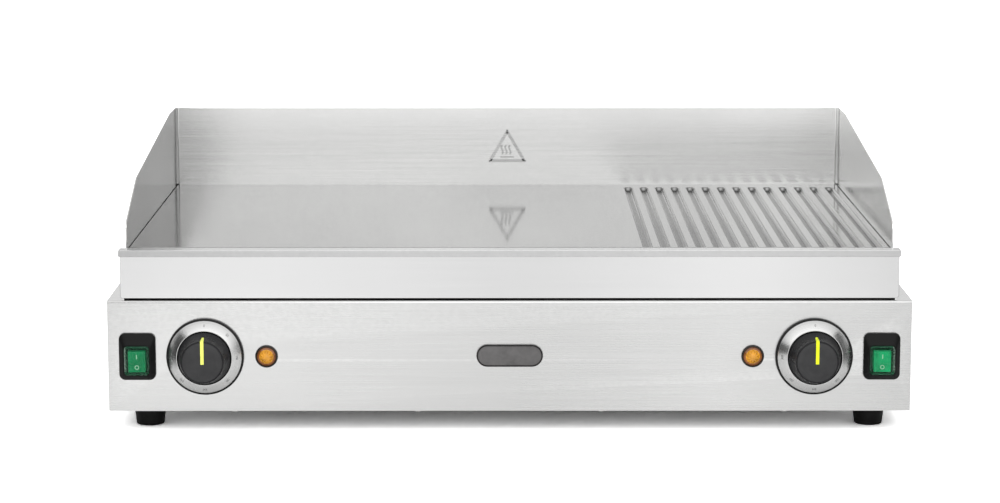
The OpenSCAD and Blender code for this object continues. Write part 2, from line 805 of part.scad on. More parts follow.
// Slab that bounds the pointer: from the knob's centre up over the skirt
module pointer_slab() {
  span(knob_x - pointer_w / 2, knob_x + pointer_w / 2, -knob_h - 2, -knob_low - 7,
       control_z - pointer_w / 2, control_z + knob_r + 2);
}

module pointer(side) color(yellow) on_side(side) intersection() {
  difference() {
    knob_solid(pointer_proud);
    knob_solid(-pointer_sunk);
  }
  pointer_slab();
}

module left_pointer() pointer(-1);
module right_pointer() pointer(1);

module knob_face(side) color(grey) on_side(side) difference() {
  rod_y(knob_x, control_z, knob_face_d / 2, -knob_top, -knob_top + face_inlay);
  span(knob_x - pointer_w / 2, knob_x + pointer_w / 2, -knob_h - 1, -knob_low,
       control_z - pointer_w / 2, control_z + knob_r);
}

module left_knob_face() knob_face(-1);
module right_knob_face() knob_face(1);

module knob(side) color(black) on_side(side) difference() {
  knob_solid(0);
  // hollow round the hub
  turned(knob_x, control_z, [
    [shaft_r + 3.5, knob_low - 1], [knob_r - 2.4, knob_low - 1], [knob_r - 2.4, knob_low + 6],
    [knob_neck_r - 2.4, knob_low + 14], [knob_neck_r - 3, knob_h - 4], [shaft_r + 3.5, knob_h - 4]
  ]);
  rod_y(knob_x, control_z, knob_face_d / 2, -knob_h - 1, -knob_top + face_inlay);
  rod_y(knob_x, control_z, shaft_r + running, -shaft_round - fit, -knob_low + 1);
  translate([knob_x, 0, control_z]) along_y(-shaft_end - fit, -shaft_round) shaft_flat(shaft_r + bore_slack);
  intersection() {
    difference() {
      knob_solid(1);
      knob_solid(-pointer_sunk);
    }
    pointer_slab();
  }
}

module left_knob() knob(-1);
module right_knob() knob(1);

// ---------------------------------------------------------------- lamps

lamp_r = lamp_d / 2;
lens_r = lamp_r - 1.9;

module lamp_bezel(side) color(black) on_side(side) difference() {
  union() {
    turned(lamp_x, control_z, [[0, 0], [lamp_r, 0], [lamp_r - 0.4, 2.4], [lamp_r - 1.1, 3], [0, 3]]);
    rod_y(lamp_x, control_z, lamp_body_r, 0, 27);
  }
  rod_y(lamp_x, control_z, lens_r + 0.1, -4, -1.2);
  rod_y(lamp_x, control_z, lamp_body_r - 1.2, -2, 12);
}

module left_lamp_bezel() lamp_bezel(-1);
module right_lamp_bezel() lamp_bezel(1);

module lamp_lens(side) color(amber) on_side(side) turned(lamp_x, control_z, concat(
  [[0, 1.2], [lens_r, 1.2], [lens_r, 2.2], [lens_r * 0.74, 2.7]],
  [for (i = [0:6]) let (a = 90 * i / 6) [lens_r * 0.70 * cos(a), 4.2 + 2.6 * sin(a)]]
));

module left_lamp_lens() lamp_lens(-1);
module right_lamp_lens() lamp_lens(1);

// ---------------------------------------------------------------- switches

cover_w = rocker_w + 6.8;
cover_h = rocker_h + 6.8;
frame_base_h = 2.6;
frame_h = 7.2;

module switch_frame(side) color(black) on_side(side) difference() {
  hull() {
    translate([switch_x, 0, switch_z]) along_y(-frame_base_h, 0)
      round_rect(switch_w, switch_h, 6, $fn = 32);
    translate([switch_x, 0, window_z]) along_y(-frame_h, -frame_base_h)
      round_rect(cover_w + 2.6, cover_h + 2.6, 4, $fn = 32);
  }
  translate([switch_x, 0, window_z]) along_y(-frame_h - 1, 1)
    square([cover_w + 0.2, cover_h + 0.2], center = true);
}

module left_switch_frame() switch_frame(-1);
module right_switch_frame() switch_frame(1);

module rounded_box_y(w, h, r, y0, y1) {
  along_y(y0, y1) round_rect(w, h, r);
}

module switch_cover(side) color([0.3, 0.6, 0.45, 0.4]) on_side(side)
  translate([switch_x, 0, window_z]) difference() {
    rounded_box_y(cover_w, cover_h, 3, -cover_out, -0.1);
    rounded_box_y(cover_w - 2 * cover_wall, cover_h - 2 * cover_wall, 2.2, -cover_out + cover_wall, 1);
  }

module left_switch_cover() switch_cover(-1);
module right_switch_cover() switch_cover(1);

module switch_body(side) color(black) on_side(side) difference() {
  union() {
    switch_opening(0, 0, 28);
    for (s = [-1, 1], dz = [-6, 6]) {
      translate([switch_x + s * 4, 0, window_z + dz]) span(-0.4, 0.4, 28, 36, -3, 3);
    }
  }
  translate([switch_x, 0, window_z]) {
    along_y(-1, 14) square([rocker_w + 0.9, rocker_h + 1.6], center = true);
    rotate([0, 90, 0]) translate([0, pivot_y, -rocker_w / 2 - 2])
      cylinder(r = pivot_r + running, h = rocker_w + 4);
  }
}

module left_switch_body() switch_body(-1);
module right_switch_body() switch_body(1);

module rocker(side) color(green) on_side(side)
  translate([switch_x, pivot_y, window_z]) rotate([rocker_swing / 2, 0, 0]) {
    along_x(-rocker_w / 2, rocker_w / 2) polygon([
      [-9.4, -rocker_h / 2], [-9.1, 0], [-9.4, rocker_h / 2], [-2.4, rocker_h / 2 - 0.6],
      [5, 3.5], [5, -3.5], [-2.4, -rocker_h / 2 + 0.6]
    ]);
    rotate([0, 90, 0]) translate([0, 0, -rocker_w / 2 - 1.6]) cylinder(r = pivot_r, h = rocker_w + 3.2);
  }

module left_rocker() rocker(-1);
module right_rocker() rocker(1);

// ---------------------------------------------------------------- badge

module badge() color(grey) in_frame() translate([0, 0, control_z + 0.7]) difference() {
  along_y(-2.4, 0) round_rect(badge_w, badge_h, badge_h / 2 - 0.01);
  along_y(-3, -1.6) round_rect(badge_w - 2.6, badge_h - 2.6, badge_h / 2 - 1.31);
}

// ---------------------------------------------------------------- grease tray

module grease_tray() color(bright) in_frame() {
  half = guard_out + tray_over;
  lip_half = half + lip_over;
  lip_y = tray_set - lip_proud;
  inside = tray_set + sheet / 2;   // the walls start inside the front's thickness
  cap = lip_top - sheet / 2;
  // front, which runs up inside the lip
  along_y(tray_set, tray_set + sheet) polygon(rounded(
    [[-half, tray_z], [half, tray_z], [half, cap], [-half, cap]], [2.5, 2.5, 0, 0]));
  // lip, folded over the front and open below
  difference() {
    span(-lip_half, lip_half, lip_y, lip_y + lip_d, strip_top, lip_top);
    span(-lip_half + sheet, lip_half - sheet, inside, lip_y + lip_d - sheet, strip_top - 1, lip_top - sheet);
  }
  for (s = [0, 1]) mirror([s, 0, 0]) {
    span(half - sheet, half, inside, lip_y + lip_d - sheet / 2, tray_z + 3.3, cap);
    span(trough_half - sheet, trough_half, inside, trough_back, tray_z, tray_z + trough_h);
  }
  // trough
  span(-trough_half, trough_half, inside, trough_back, tray_z, tray_z + sheet);
  span(-trough_half, trough_half, trough_back - sheet, trough_back, tray_z, tray_z + trough_h);
}

module tray_runners() color(steel) in_frame() {
  for (s = [-1, 1]) translate([s * body_w * 0.27, 0, 0]) {
    span(-7, 7, tray_set + trough_d * 0.5, bay_front, deck_z, tray_z - slide_gap);
    span(-7, 7, trough_back + 1.4, trough_back + 1.4 + sheet, tray_z - slide_gap, tray_z + 4);
  }
}

// ---------------------------------------------------------------- supply

block_w = 62;
block_d = 28;
block_h = 20;
block_y = body_d - 70;
block_z = foot_h + sheet;
block_low = block_z + 8;   // height of the wire entries

module terminal_block() color(cream) in_frame() translate([-gland_x, block_y, block_z]) difference() {
  union() {
    span(-block_w / 2, block_w / 2, 0, block_d, 0, block_h - 4);
    for (i = [0:5]) {
      translate([-block_w / 2 + i * (block_w - 2) / 5, 0, 0]) span(0, 2, 0, block_d, 0, block_h);
    }
  }
  for (i = [0:4]) {
    x = -block_w / 2 + 1 + (i + 0.5) * (block_w - 2) / 5;
    rod_z(x, block_d / 2, 2.2, 6, block_h);
    rod_y(x, 8, 1.9, -1, 10);
  }
}

module cable_gland() color(black) in_frame() difference() {
  tip = body_d + gland_out;
  union() {
    rod_y(-gland_x, gland_z, gland_r, body_d - sheet - 9, body_d);
    hex_y(-gland_x, gland_z, 2 * gland_r + 8, body_d - sheet - 6, body_d - sheet);
    hex_y(-gland_x, gland_z, 2 * gland_r + 8, body_d, body_d + 6);
    translate([-gland_x, body_d + 6, gland_z]) rotate([-90, 0, 0]) rotate_extrude() polygon([
      [0, 0], [gland_r + 3, 0], [gland_r + 3, gland_out - 10], [gland_r + 0.5, gland_out - 6.5],
      [gland_r - 0.5, gland_out - 6], [0, gland_out - 6]
    ]);
  }
  rod_y(-gland_x, gland_z, gland_bore_r, body_d - 20, tip + 1);
}

module bonding_stud() color(brass) in_frame() {
  rod_y(stud_x, gland_z, stud_r, body_d - sheet - 8, body_d + 13);
  hex_y(stud_x, gland_z, 10, body_d - sheet - 5, body_d - sheet);
  rod_y(stud_x, gland_z, 6.2, body_d, body_d + 1.2);
  hex_y(stud_x, gland_z, 10, body_d + 1.2, body_d + 6);
}

// Leads from the terminal block to the controls and on to the heaters
module wiring() color(grey) in_frame() {
  wire_r = 1.6;
  floor_z = foot_h + 16;
  terminal_low = terminal_z - 8;
  far = zone_x + 1.5 * run_gap;
  near = zone_x - 1.5 * run_gap;
  lane_x = switch_x - 24;
  bays = (block_w - 2) / 5;
  for (s = [-1, 1]) {
    feed_x = -gland_x + s * 2 * bays;
    return_x = -gland_x + s * bays;
    cross_y = block_y - 40 - 12 * s;
    wire([[feed_x, block_y, block_low], [feed_x, cross_y, floor_z], [s * lane_x, cross_y, floor_z],
          [s * lane_x, 60, floor_z], [s * switch_x, 44, window_z - 12],
          [s * switch_x, 28, window_z - 12]], wire_r);
    wire([[s * switch_x, 28, window_z + 11], [s * switch_x, 42, window_z + 11],
          [s * (knob_x + 12), 42, control_z], [s * (knob_x + 12), thermostat_back, control_z]], wire_r);
    wire([[s * knob_x, thermostat_back, control_z - 10], [s * knob_x, 52, control_z - 10],
          [s * far, drop_y, control_z + 10], [s * far, drop_y, terminal_low]], wire_r);
    return_z = floor_z + 11 + 7 * s;
    wire([[s * near, drop_y, terminal_low], [s * near, drop_y, terminal_low - 24],
          [s * near, drop_y + 40, return_z], [s * near, cross_y - 60, return_z],
          [return_x, cross_y - 60, return_z], [return_x, block_y, block_low]], wire_r);
  }
}

// ---------------------------------------------------------------- nodes

housing_shell();
back_panel();
bottom_plate();
back_screws();
base_screws();
foot(-1, foot_y[0]);  // front_left_foot
foot(1, foot_y[0]);  // front_right_foot
foot(-1, foot_y[1]);  // rear_left_foot
foot(1, foot_y[1]);  // rear_right_foot
foot_screws();
left_guard();
right_guard();
back_guard();
guard_screws();
griddle_plate();
left_plate_rail();
right_plate_rail();
bay_front_wall();
insulation_pad();
heat_shield();
left_heater();
right_heater();
left_clamp_bars();
right_clamp_bars();
clamp_fasteners();
left_sensor();
right_sensor();
left_thermostat();
right_thermostat();
left_shaft();
right_shaft();
left_dial_rim();
right_dial_rim();
left_dial_ring();
right_dial_ring();
left_knob();
right_knob();
left_knob_face();
right_knob_face();
left_pointer();
right_pointer();
left_lamp_bezel();
right_lamp_bezel();
left_lamp_lens();
right_lamp_lens();
left_switch_frame();
right_switch_frame();
left_switch_body();
right_switch_body();
left_rocker();
right_rocker();
left_switch_cover();
right_switch_cover();
badge();
grease_tray();
tray_runners();
terminal_block();
cable_gland();
bonding_stud();
wiring();
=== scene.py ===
import json
import math

import bpy
from bpy.props import FloatProperty, FloatVectorProperty, IntProperty, PointerProperty
from mathutils import Matrix, Vector


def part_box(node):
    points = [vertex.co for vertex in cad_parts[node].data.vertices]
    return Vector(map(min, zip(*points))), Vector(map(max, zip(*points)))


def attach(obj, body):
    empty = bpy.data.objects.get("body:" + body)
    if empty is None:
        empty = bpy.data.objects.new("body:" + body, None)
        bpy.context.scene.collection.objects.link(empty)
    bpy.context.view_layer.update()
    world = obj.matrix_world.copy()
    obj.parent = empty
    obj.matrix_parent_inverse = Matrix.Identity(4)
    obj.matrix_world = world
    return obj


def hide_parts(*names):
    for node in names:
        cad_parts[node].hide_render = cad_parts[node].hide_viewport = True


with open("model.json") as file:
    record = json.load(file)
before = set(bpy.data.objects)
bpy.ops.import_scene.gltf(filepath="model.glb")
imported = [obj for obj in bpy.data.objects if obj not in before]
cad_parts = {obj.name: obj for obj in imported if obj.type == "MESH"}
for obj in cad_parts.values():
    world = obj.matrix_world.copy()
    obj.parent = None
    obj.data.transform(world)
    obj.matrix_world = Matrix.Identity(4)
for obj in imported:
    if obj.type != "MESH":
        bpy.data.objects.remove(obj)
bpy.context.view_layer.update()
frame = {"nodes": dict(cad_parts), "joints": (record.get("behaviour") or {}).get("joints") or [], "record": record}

bl_info = {
    "name": "Flat Top Griddle",
    "version": (1, 0, 0),
    "blender": (4, 5, 0),
    "location": "3D View > Sidebar > Griddle",
    "description": "Finishes and fine pieces of an electric two-zone flat top griddle",
    "category": "Add Mesh",
}

MM = 0.001
SIDES = {"left": -1, "right": 1}


# ------------------------------------------------------------------ sizes and colours


def length(name, description, default):
    return FloatProperty(
        name=name, description=description, default=default, min=0.0,
        unit="LENGTH", subtype="DISTANCE", precision=5,
    )


def colour(name, description, default):
    return FloatVectorProperty(
        name=name, description=description, default=default, size=3,
        min=0.0, max=1.0, subtype="COLOR",
    )


def amount(name, description, default, least=0.0):
    return FloatProperty(name=name, description=description, default=default, min=least)


def count(name, description, default, least):
    return IntProperty(name=name, description=description, default=default, min=least)


def angle(name, description, degrees):
    return FloatProperty(
        name=name, description=description, default=math.radians(degrees), subtype="ANGLE", unit="ROTATION",
    )


class GriddleSizes(bpy.types.PropertyGroup):
    housing_fold: length("Housing fold", "Radius left by the press brake on the housing", 0.0009)
    guard_edge: length("Guard edge", "Softened edge of the splash guard sheets", 0.0003)
    plate_edge: length("Plate edge", "Broken edge of the griddle plate and its grooves", 0.0005)
    tray_edge: length("Tray edge", "Softened fold of the grease tray", 0.0008)
    mark_height: length("Dial figures", "Height of the figures on a dial", 0.0021)
    mark_thickness: length("Figure thickness", "How far the figures stand out", 0.00006)
    cover_wall: length("Cover wall", "Wall of a clear switch cover", 0.0009)
    emblem_width: length("Emblem width", "Side of the pressed triangle", 0.0428)
    emblem_rise: length("Emblem rise", "Height of the emblem's centre over the plate", 0.0364)
    pointer_cut: length("Pointer cut", "Length left off the top of the painted pointer", 0.0026)
    lens_flutes: count("Lens flutes", "Flutes round a pilot lens", 10, 6)
    turned_sides: count("Turned sides", "Sides of a turned piece", 96, 24)


class GriddleColours(bpy.types.PropertyGroup):
    steel: colour("Steel", "Brushed stainless sheet", (0.675, 0.675, 0.67))
    plate: colour("Plate", "Polished cooking plate", (0.45, 0.45, 0.446))
    tray: colour("Tray", "Bright stainless of the grease tray", (0.74, 0.74, 0.74))
    knob: colour("Knob", "Moulded knob", (0.013, 0.013, 0.014))
    knob_face: colour("Knob face", "Satin face of a knob", (0.034, 0.034, 0.035))
    pointer_left: colour("Left pointer", "Paint of the left pointer", (0.74, 0.80, 0.16))
    pointer_right: colour("Right pointer", "Paint of the right pointer", (0.70, 0.80, 0.02))
    rubber: colour("Rubber", "Feet and switch frames", (0.005, 0.005, 0.005))
    rocker: colour("Rocker", "Translucent green rocker", (0.004, 0.165, 0.058))
    lens: colour("Pilot lens", "Amber pilot lens", (0.56, 0.25, 0.02))
    badge: colour("Badge", "Blank badge", (0.105, 0.102, 0.102))


class GriddleStudio(bpy.types.PropertyGroup):
    camera_at: FloatVectorProperty(
        name="Camera", description="Place of the camera", size=3, subtype="TRANSLATION",
        unit="LENGTH", default=(-0.01553, -2.786, 0.5879),
    )
    camera_tilt: angle("Tilt", "Camera's downward tilt", 9.334)
    camera_turn: angle("Turn", "Camera's turn to the right", 0.151)
    lens: amount("Lens", "Focal length in millimetres", 103.41, 10.0)
    floor_tone: amount("Floor tone", "Reflectance of the floor", 0.92)
    surround: amount("Surround", "Brightness of the room", 0.9)
    front_lift: amount("Front lift", "Extra brightness of the room ahead", 0.9)
    overhead: amount("Overhead", "Power of the overhead light", 0.9)


def sizes():
    return bpy.context.scene.griddle_sizes


def colours():
    return bpy.context.scene.griddle_colours


def studio():
    return bpy.context.scene.griddle_studio


# ------------------------------------------------------------------ modelling


def deselect():
    if bpy.context.mode != "OBJECT":
        mode("OBJECT")
    bpy.ops.object.select_all(action="DESELECT")


def pick(obj):
    deselect()
    obj.select_set(True)
    bpy.context.view_layer.objects.active = obj


def edit(obj, everything=True):
    pick(obj)
    mode("EDIT")
    bpy.ops.mesh.select_all(action="SELECT" if everything else "DESELECT")


def mode(name):
    bpy.ops.object.mode_set(mode=name)


def done():
    mode("OBJECT")


def apply_all(obj):
    pick(obj)
    for modifier in list(obj.modifiers):
        bpy.ops.object.modifier_apply(modifier=modifier.name)


def settle(obj, name=None):
    """Puts the piece's place, turn and scale into its mesh."""
    pick(obj)
    bpy.ops.object.transform_apply(location=True, rotation=True, scale=True)
    if name:
        obj.name = name
        obj.data.name = name
    return obj


def outward(obj, merge=0.000002):
    edit(obj)
    bpy.ops.mesh.remove_doubles(threshold=merge)
    bpy.ops.mesh.normals_make_consistent(inside=False)
    done()
    return obj


def smooth(obj, angle=35.0):
    pick(obj)
    bpy.ops.object.shade_smooth_by_angle(angle=math.radians(angle))
    return obj


def soften(obj, width, segments=2, angle=30.0):
    """Rounds the piece's edges and shades it."""
    bevel = obj.modifiers.new("Soft edges", "BEVEL")
    bevel.width = width
    bevel.segments = segments
    bevel.limit_method = "ANGLE"
    bevel.angle_limit = math.radians(angle)
    bevel.use_clamp_overlap = True
    apply_all(obj)
    smooth(obj)
    for face in obj.data.polygons:
        if max(abs(c) for c in face.normal) > 0.99999:
            face.use_smooth = False
    return obj


def unselect(*collections):
    for items in collections:
        for item in items:
            item.select = False


def select_faces(obj, test):
    """Selects, in edit mode, the faces whose centre and normal pass the test."""
    done()
    unselect(obj.data.vertices, obj.data.edges)
    for face in obj.data.polygons:
        face.select = test(face.center, face.normal)
    mode("EDIT")
    bpy.ops.mesh.select_mode(type="FACE")


def select_edges(obj, test):
    """Selects, in edit mode, the edges whose two ends pass the test."""
    bpy.ops.mesh.select_mode(type="EDGE")
    done()
    points = [vert.co.copy() for vert in obj.data.vertices]
    unselect(obj.data.polygons, obj.data.vertices)
    for edge in obj.data.edges:
        edge.select = test(points[edge.vertices[0]], points[edge.vertices[1]])
    mode("EDIT")


def push(*offset):
    """Extrudes what is selected by an offset."""
    bpy.ops.mesh.extrude_region_move(TRANSFORM_OT_translate={"value": offset})


def round_off(radius, segments):
    """Rounds the selected edges."""
    bpy.ops.mesh.bevel(offset=radius, offset_type="OFFSET", segments=segments, affect="EDGES")


def block(name, low, high):
    """A cube stretched between two corners."""
    deselect()
    low, high = Vector(low), Vector(high)
    bpy.ops.mesh.primitive_cube_add(size=1, location=(low + high) / 2, scale=high - low)
    return settle(bpy.context.object, name)


def along_y_edge(a, b):
    d = b - a
    return abs(d.y) > 1e-5 and abs(d.x) < 1e-6 and abs(d.z) < 1e-6


def rounded_block(name, low, high, radius, segments=8):
    """A block with the four edges that run front to back rounded."""
    obj = block(name, low, high)
    edit(obj, False)
    select_edges(obj, along_y_edge)
    round_off(radius, segments)
    done()
    return obj


def turned(name, axis, front, outline, sides=None, capped=True):
    """Draws a ring out, step by step, along an outline of radius against height before the front."""
    deselect()
    x, z = axis
    start_r, start_h = outline[0]
    bpy.ops.mesh.primitive_circle_add(
        vertices=sides or sizes().turned_sides, radius=start_r * MM,
        location=(x, front - start_h * MM, z), rotation=(math.pi / 2, 0, 0),
    )
    obj = settle(bpy.context.object, name)
    edit(obj)
    for (r0, h0), (r1, h1) in zip(outline, outline[1:]):
        push(0, (h0 - h1) * MM, 0)
        if abs(r1 - r0) > 1e-6:
            k = r1 / r0
            bpy.ops.transform.resize(value=(k, 1, k), center_override=(x, front - h1 * MM, z))
    if capped:
        bpy.ops.mesh.edge_face_add()
    done()
    return obj


def close_back(obj):
    """Fills the open back of a turned piece."""
    edit(obj, False)
    bpy.ops.mesh.select_mode(type="EDGE")
    bpy.ops.mesh.select_non_manifold()
    bpy.ops.mesh.edge_face_add()
    done()
    return outward(obj)


def closed_ring(name, axis, front, outline, sides=None):
    """A turned ring whose outline ends where it starts."""
    return outward(turned(name, axis, front, outline + [outline[0]], sides, capped=False))


def softened_copy(name, node, width, segments=2, angle=30.0):
    """A merged copy of a CAD node with its sharp edges rounded."""
    source = frame["nodes"][node]
    obj = bpy.data.objects.new(name, source.data.copy())
    bpy.context.scene.collection.objects.link(obj)
    obj.data.name = name
    obj.data.materials.clear()
    edit(obj)
    bpy.ops.mesh.remove_doubles(threshold=0.00001)
    bpy.ops.mesh.dissolve_limited(angle_limit=math.radians(0.5))
    done()
    return soften(obj, width, segments, angle)


def duplicate(obj, name, offset=(0, 0, 0)):
    """A copy with its own mesh, shifted."""
    twin = obj.copy()
    twin.data = obj.data.copy()
    bpy.context.scene.collection.objects.link(twin)
    twin.data.transform(Matrix.Translation(Vector(offset)))
    twin.name = name
    twin.data.name = name
    return twin


def join(objs, name):
    deselect()
    for obj in objs:
        obj.select_set(True)
    bpy.context.view_layer.objects.active = objs[0]
    bpy.ops.object.join()
    objs[0].name = name
    objs[0].data.name = name
    return objs[0]


def turned_piece(name, axis, front, outline, angle=None):
    """A turned piece closed at its back, smooth below the angle."""
    obj = close_back(turned(name, axis, front, outline))
    return smooth(obj, angle) if angle else obj


def span_of(node):
    low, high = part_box(node)
    return Vector(low), Vector(high)


def middle(node):
    low, high = span_of(node)
    return (low + high) / 2


def axis_of(node):
    """Where the axis of a round node that runs front to back stands."""
    at = middle(node)
    return at.x, at.z


def radius_of(node):
    """Radius, in millimetres, of a round node that runs front to back."""
    low, high = span_of(node)
    return (high.x - low.x) / 2 / MM


def loose_parts(node):
    """Boxes of the separate solids of a CAD node."""
    points = [vert.co.copy() for vert in frame["nodes"][node].data.vertices]
    keys = [tuple(round(c * 100000) for c in point) for point in points]
    owner = {key: key for key in keys}

    def root(key):
        while owner[key] != key:
            owner[key] = owner[owner[key]]
            key = owner[key]
        return key

    for face in frame["nodes"][node].data.polygons:
        first, *others = (root(keys[i]) for i in face.vertices)
        for other in others:
            owner[root(other)] = root(first)
    boxes = {}
    for key, point in zip(keys, points):
        low, high = boxes.setdefault(root(key), (point.copy(), point.copy()))
        for axis in range(3):
            low[axis] = min(low[axis], point[axis])
            high[axis] = max(high[axis], point[axis])
    return sorted(boxes.values(), key=lambda box: tuple(round(c, 4) for c in box[0]))


def cut(obj, cutter):
    """Takes the cutter away from the piece."""
    hole = obj.modifiers.new("Cut", "BOOLEAN")
    hole.operation = "DIFFERENCE"
    hole.solver = "EXACT"
    hole.object = cutter
    apply_all(obj)
    bpy.data.objects.remove(cutter, do_unlink=True)
    return obj


def add_finishes(obj, *names):
    for name in names:
        obj.data.materials.append(FINISHES[name])


def fit_out(obj, slot, nodes=(), body="base", finish=None):
    """Gives a piece its finish, which is the one the slot names when no other is given, hangs it on its body, and
    hides the nodes it stands for.
    """
    obj.data.materials.clear()
    add_finishes(obj, finish or slot)
    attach(obj, body)
    if nodes:
        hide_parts(*nodes)
    return obj


def dressed(name, node, width, slot, segments=2, body="base", finish=None):
    """A softened copy of a node, fitted out to stand for it."""
    return fit_out(softened_copy(name, node, width, segments), slot, [node], body, finish)


# ------------------------------------------------------------------ shader groups


def group(name, inputs, outputs):
    """A shader group fed with a place and the given sizes, its inputs inside and its outputs."""
    tree = bpy.data.node_groups.new(name, "ShaderNodeTree")
    tree.interface.new_socket("Vector", in_out="INPUT", socket_type="NodeSocketVector")
    for label, default in inputs.items():
        kind = "NodeSocketVector" if isinstance(default, tuple) else "NodeSocketFloat"
        tree.interface.new_socket(label, in_out="INPUT", socket_type=kind).default_value = default
    for label in outputs:
        tree.interface.new_socket(label, in_out="OUTPUT", socket_type="NodeSocketFloat")
    return tree, tree.nodes.new("NodeGroupInput").outputs, tree.nodes.new("NodeGroupOutput").inputs


def node_of(tree, kind, **values):
    made = tree.nodes.new(kind)
    for key, value in values.items():
        setattr(made, key, value)
    return made


def scaled(tree, vector, scale):
    """The vector times a vector."""
    times = node_of(tree, "ShaderNodeVectorMath", operation="MULTIPLY")
    tree.links.new(vector, times.inputs[0])
    if isinstance(scale, tuple):
        times.inputs[1].default_value = scale
    else:
        tree.links.new(scale, times.inputs[1])
    return times.outputs[0]


def split(tree, vector):
    """The three parts of a vector."""
    parts = node_of(tree, "ShaderNodeSeparateXYZ")
    tree.links.new(vector, parts.inputs[0])
    return parts.outputs


def noise(tree, vector, scale=1.0, detail=4.0, roughness=0.55):
    made = node_of(tree, "ShaderNodeTexNoise")
    made.inputs["Scale"].default_value = scale
    made.inputs["Detail"].default_value = detail
    made.inputs["Roughness"].default_value = roughness
    tree.links.new(vector, made.inputs["Vector"])
    return made.outputs["Fac"]


def remap(tree, value, low, high, to_low, to_high):
    made = node_of(tree, "ShaderNodeMapRange")
    for socket, number in zip(list(made.inputs)[1:5], (low, high, to_low, to_high)):
        socket.default_value = number
    tree.links.new(value, made.inputs[0])
    return made.outputs[0]


def maths(tree, operation, a, b):
    made = node_of(tree, "ShaderNodeMath", operation=operation)
    for socket, value in zip(made.inputs, (a, b)):
        if isinstance(value, (int, float)):
            socket.default_value = value
        else:
            tree.links.new(value, socket)
    return made.outputs[0]


def make_grain():
    """Brushing: fine lines drawn out along the direction with the small scale."""
    sizes_in = {"Lines": (6.0, 900.0, 900.0), "Hairlines": (25.0, 3800.0, 3800.0)}
    tree, given, out = group("Brushed grain", sizes_in, ("Streaks", "Height"))
    coarse = noise(tree, scaled(tree, given[0], given[1]), detail=5.0, roughness=0.65)
    fine = noise(tree, scaled(tree, given[0], given[2]), detail=2.0)
    total = maths(tree, "MULTIPLY_ADD", fine, 0.45)
    tree.links.new(coarse, total.node.inputs[2])
    tree.links.new(total, out["Height"])
    tree.links.new(coarse, out["Streaks"])
    return tree


def make_cloud():
    """Broad uneven patches left by wiping, handling and polishing."""
    tree, given, out = group("Wiped cloud", {"Size": (5.0, 5.0, 5.0)}, ("Cloud",))
    vector = scaled(tree, given[0], given[1])
    tree.links.new(noise(tree, vector, 1.0, 3.0, 0.5), out["Cloud"])
    return tree


def make_wear():
    """Mask of the outer edges, broken up by noise."""
    tree, given, out = group("Edge wear", {"From": 0.52, "To": 0.62}, ("Wear",))
    geometry = node_of(tree, "ShaderNodeNewGeometry")
    ramp = node_of(tree, "ShaderNodeMapRange")
    tree.links.new(geometry.outputs["Pointiness"], ramp.inputs[0])
    tree.links.new(given[1], ramp.inputs[1])
    tree.links.new(given[2], ramp.inputs[2])
    broken = noise(tree, given[0], 260.0, 3.0, 0.6)
    broken = remap(tree, broken, 0.35, 0.65, 0.3, 1.0)
    tree.links.new(maths(tree, "MULTIPLY", ramp.outputs[0], broken), out["Wear"])
    return tree


def make_mould():
    """The fine sparked texture of a moulding tool."""
    tree, given, out = group("Moulded texture", {"Pitch": 1600.0}, ("Height", "Mottle"))
    fine = node_of(tree, "ShaderNodeTexNoise")
    fine.inputs["Detail"].default_value = 3.0
    tree.links.new(given[0], fine.inputs["Vector"])
    tree.links.new(given[1], fine.inputs["Scale"])
    tree.links.new(fine.outputs["Fac"], out["Height"])
    tree.links.new(noise(tree, given[0], 90.0, 3.0, 0.6), out["Mottle"])
    return tree


def make_lathe():
    """Fine rings round an axis that runs front to back through the given centre."""
    sizes_in = {"Centre": (0.0, 0.0, 0.0), "Pitch": 2600.0}
    tree, given, out = group("Lathe rings", sizes_in, ("Height", "Tone"))
    away = node_of(tree, "ShaderNodeVectorMath", operation="SUBTRACT")
    tree.links.new(given[0], away.inputs[0])
    tree.links.new(given[1], away.inputs[1])
    flat = scaled(tree, away.outputs[0], (1.0, 0.0, 1.0))
    radius = node_of(tree, "ShaderNodeVectorMath", operation="LENGTH")
    tree.links.new(flat, radius.inputs[0])
    rings = node_of(tree, "ShaderNodeTexNoise", noise_dimensions="1D")
    rings.inputs["Detail"].default_value = 4.0
    rings.inputs["Roughness"].default_value = 0.7
    tree.links.new(radius.outputs["Value"], rings.inputs["W"])
    tree.links.new(given[2], rings.inputs["Scale"])
    tree.links.new(rings.outputs["Fac"], out["Height"])
    tree.links.new(noise(tree, scaled(tree, flat, (40.0, 0.0, 40.0)), 1.0, 3.0), out["Tone"])
    return tree


MAKERS = {"grain": make_grain, "cloud": make_cloud, "wear": make_wear, "mould": make_mould, "lathe": make_lathe}
GROUPS = {}


def shared(name):
    """The shader group of that name, built the first time it is asked for."""
    if name not in GROUPS:
        GROUPS[name] = MAKERS[name]()
    return GROUPS[name]


# ------------------------------------------------------------------ finishes


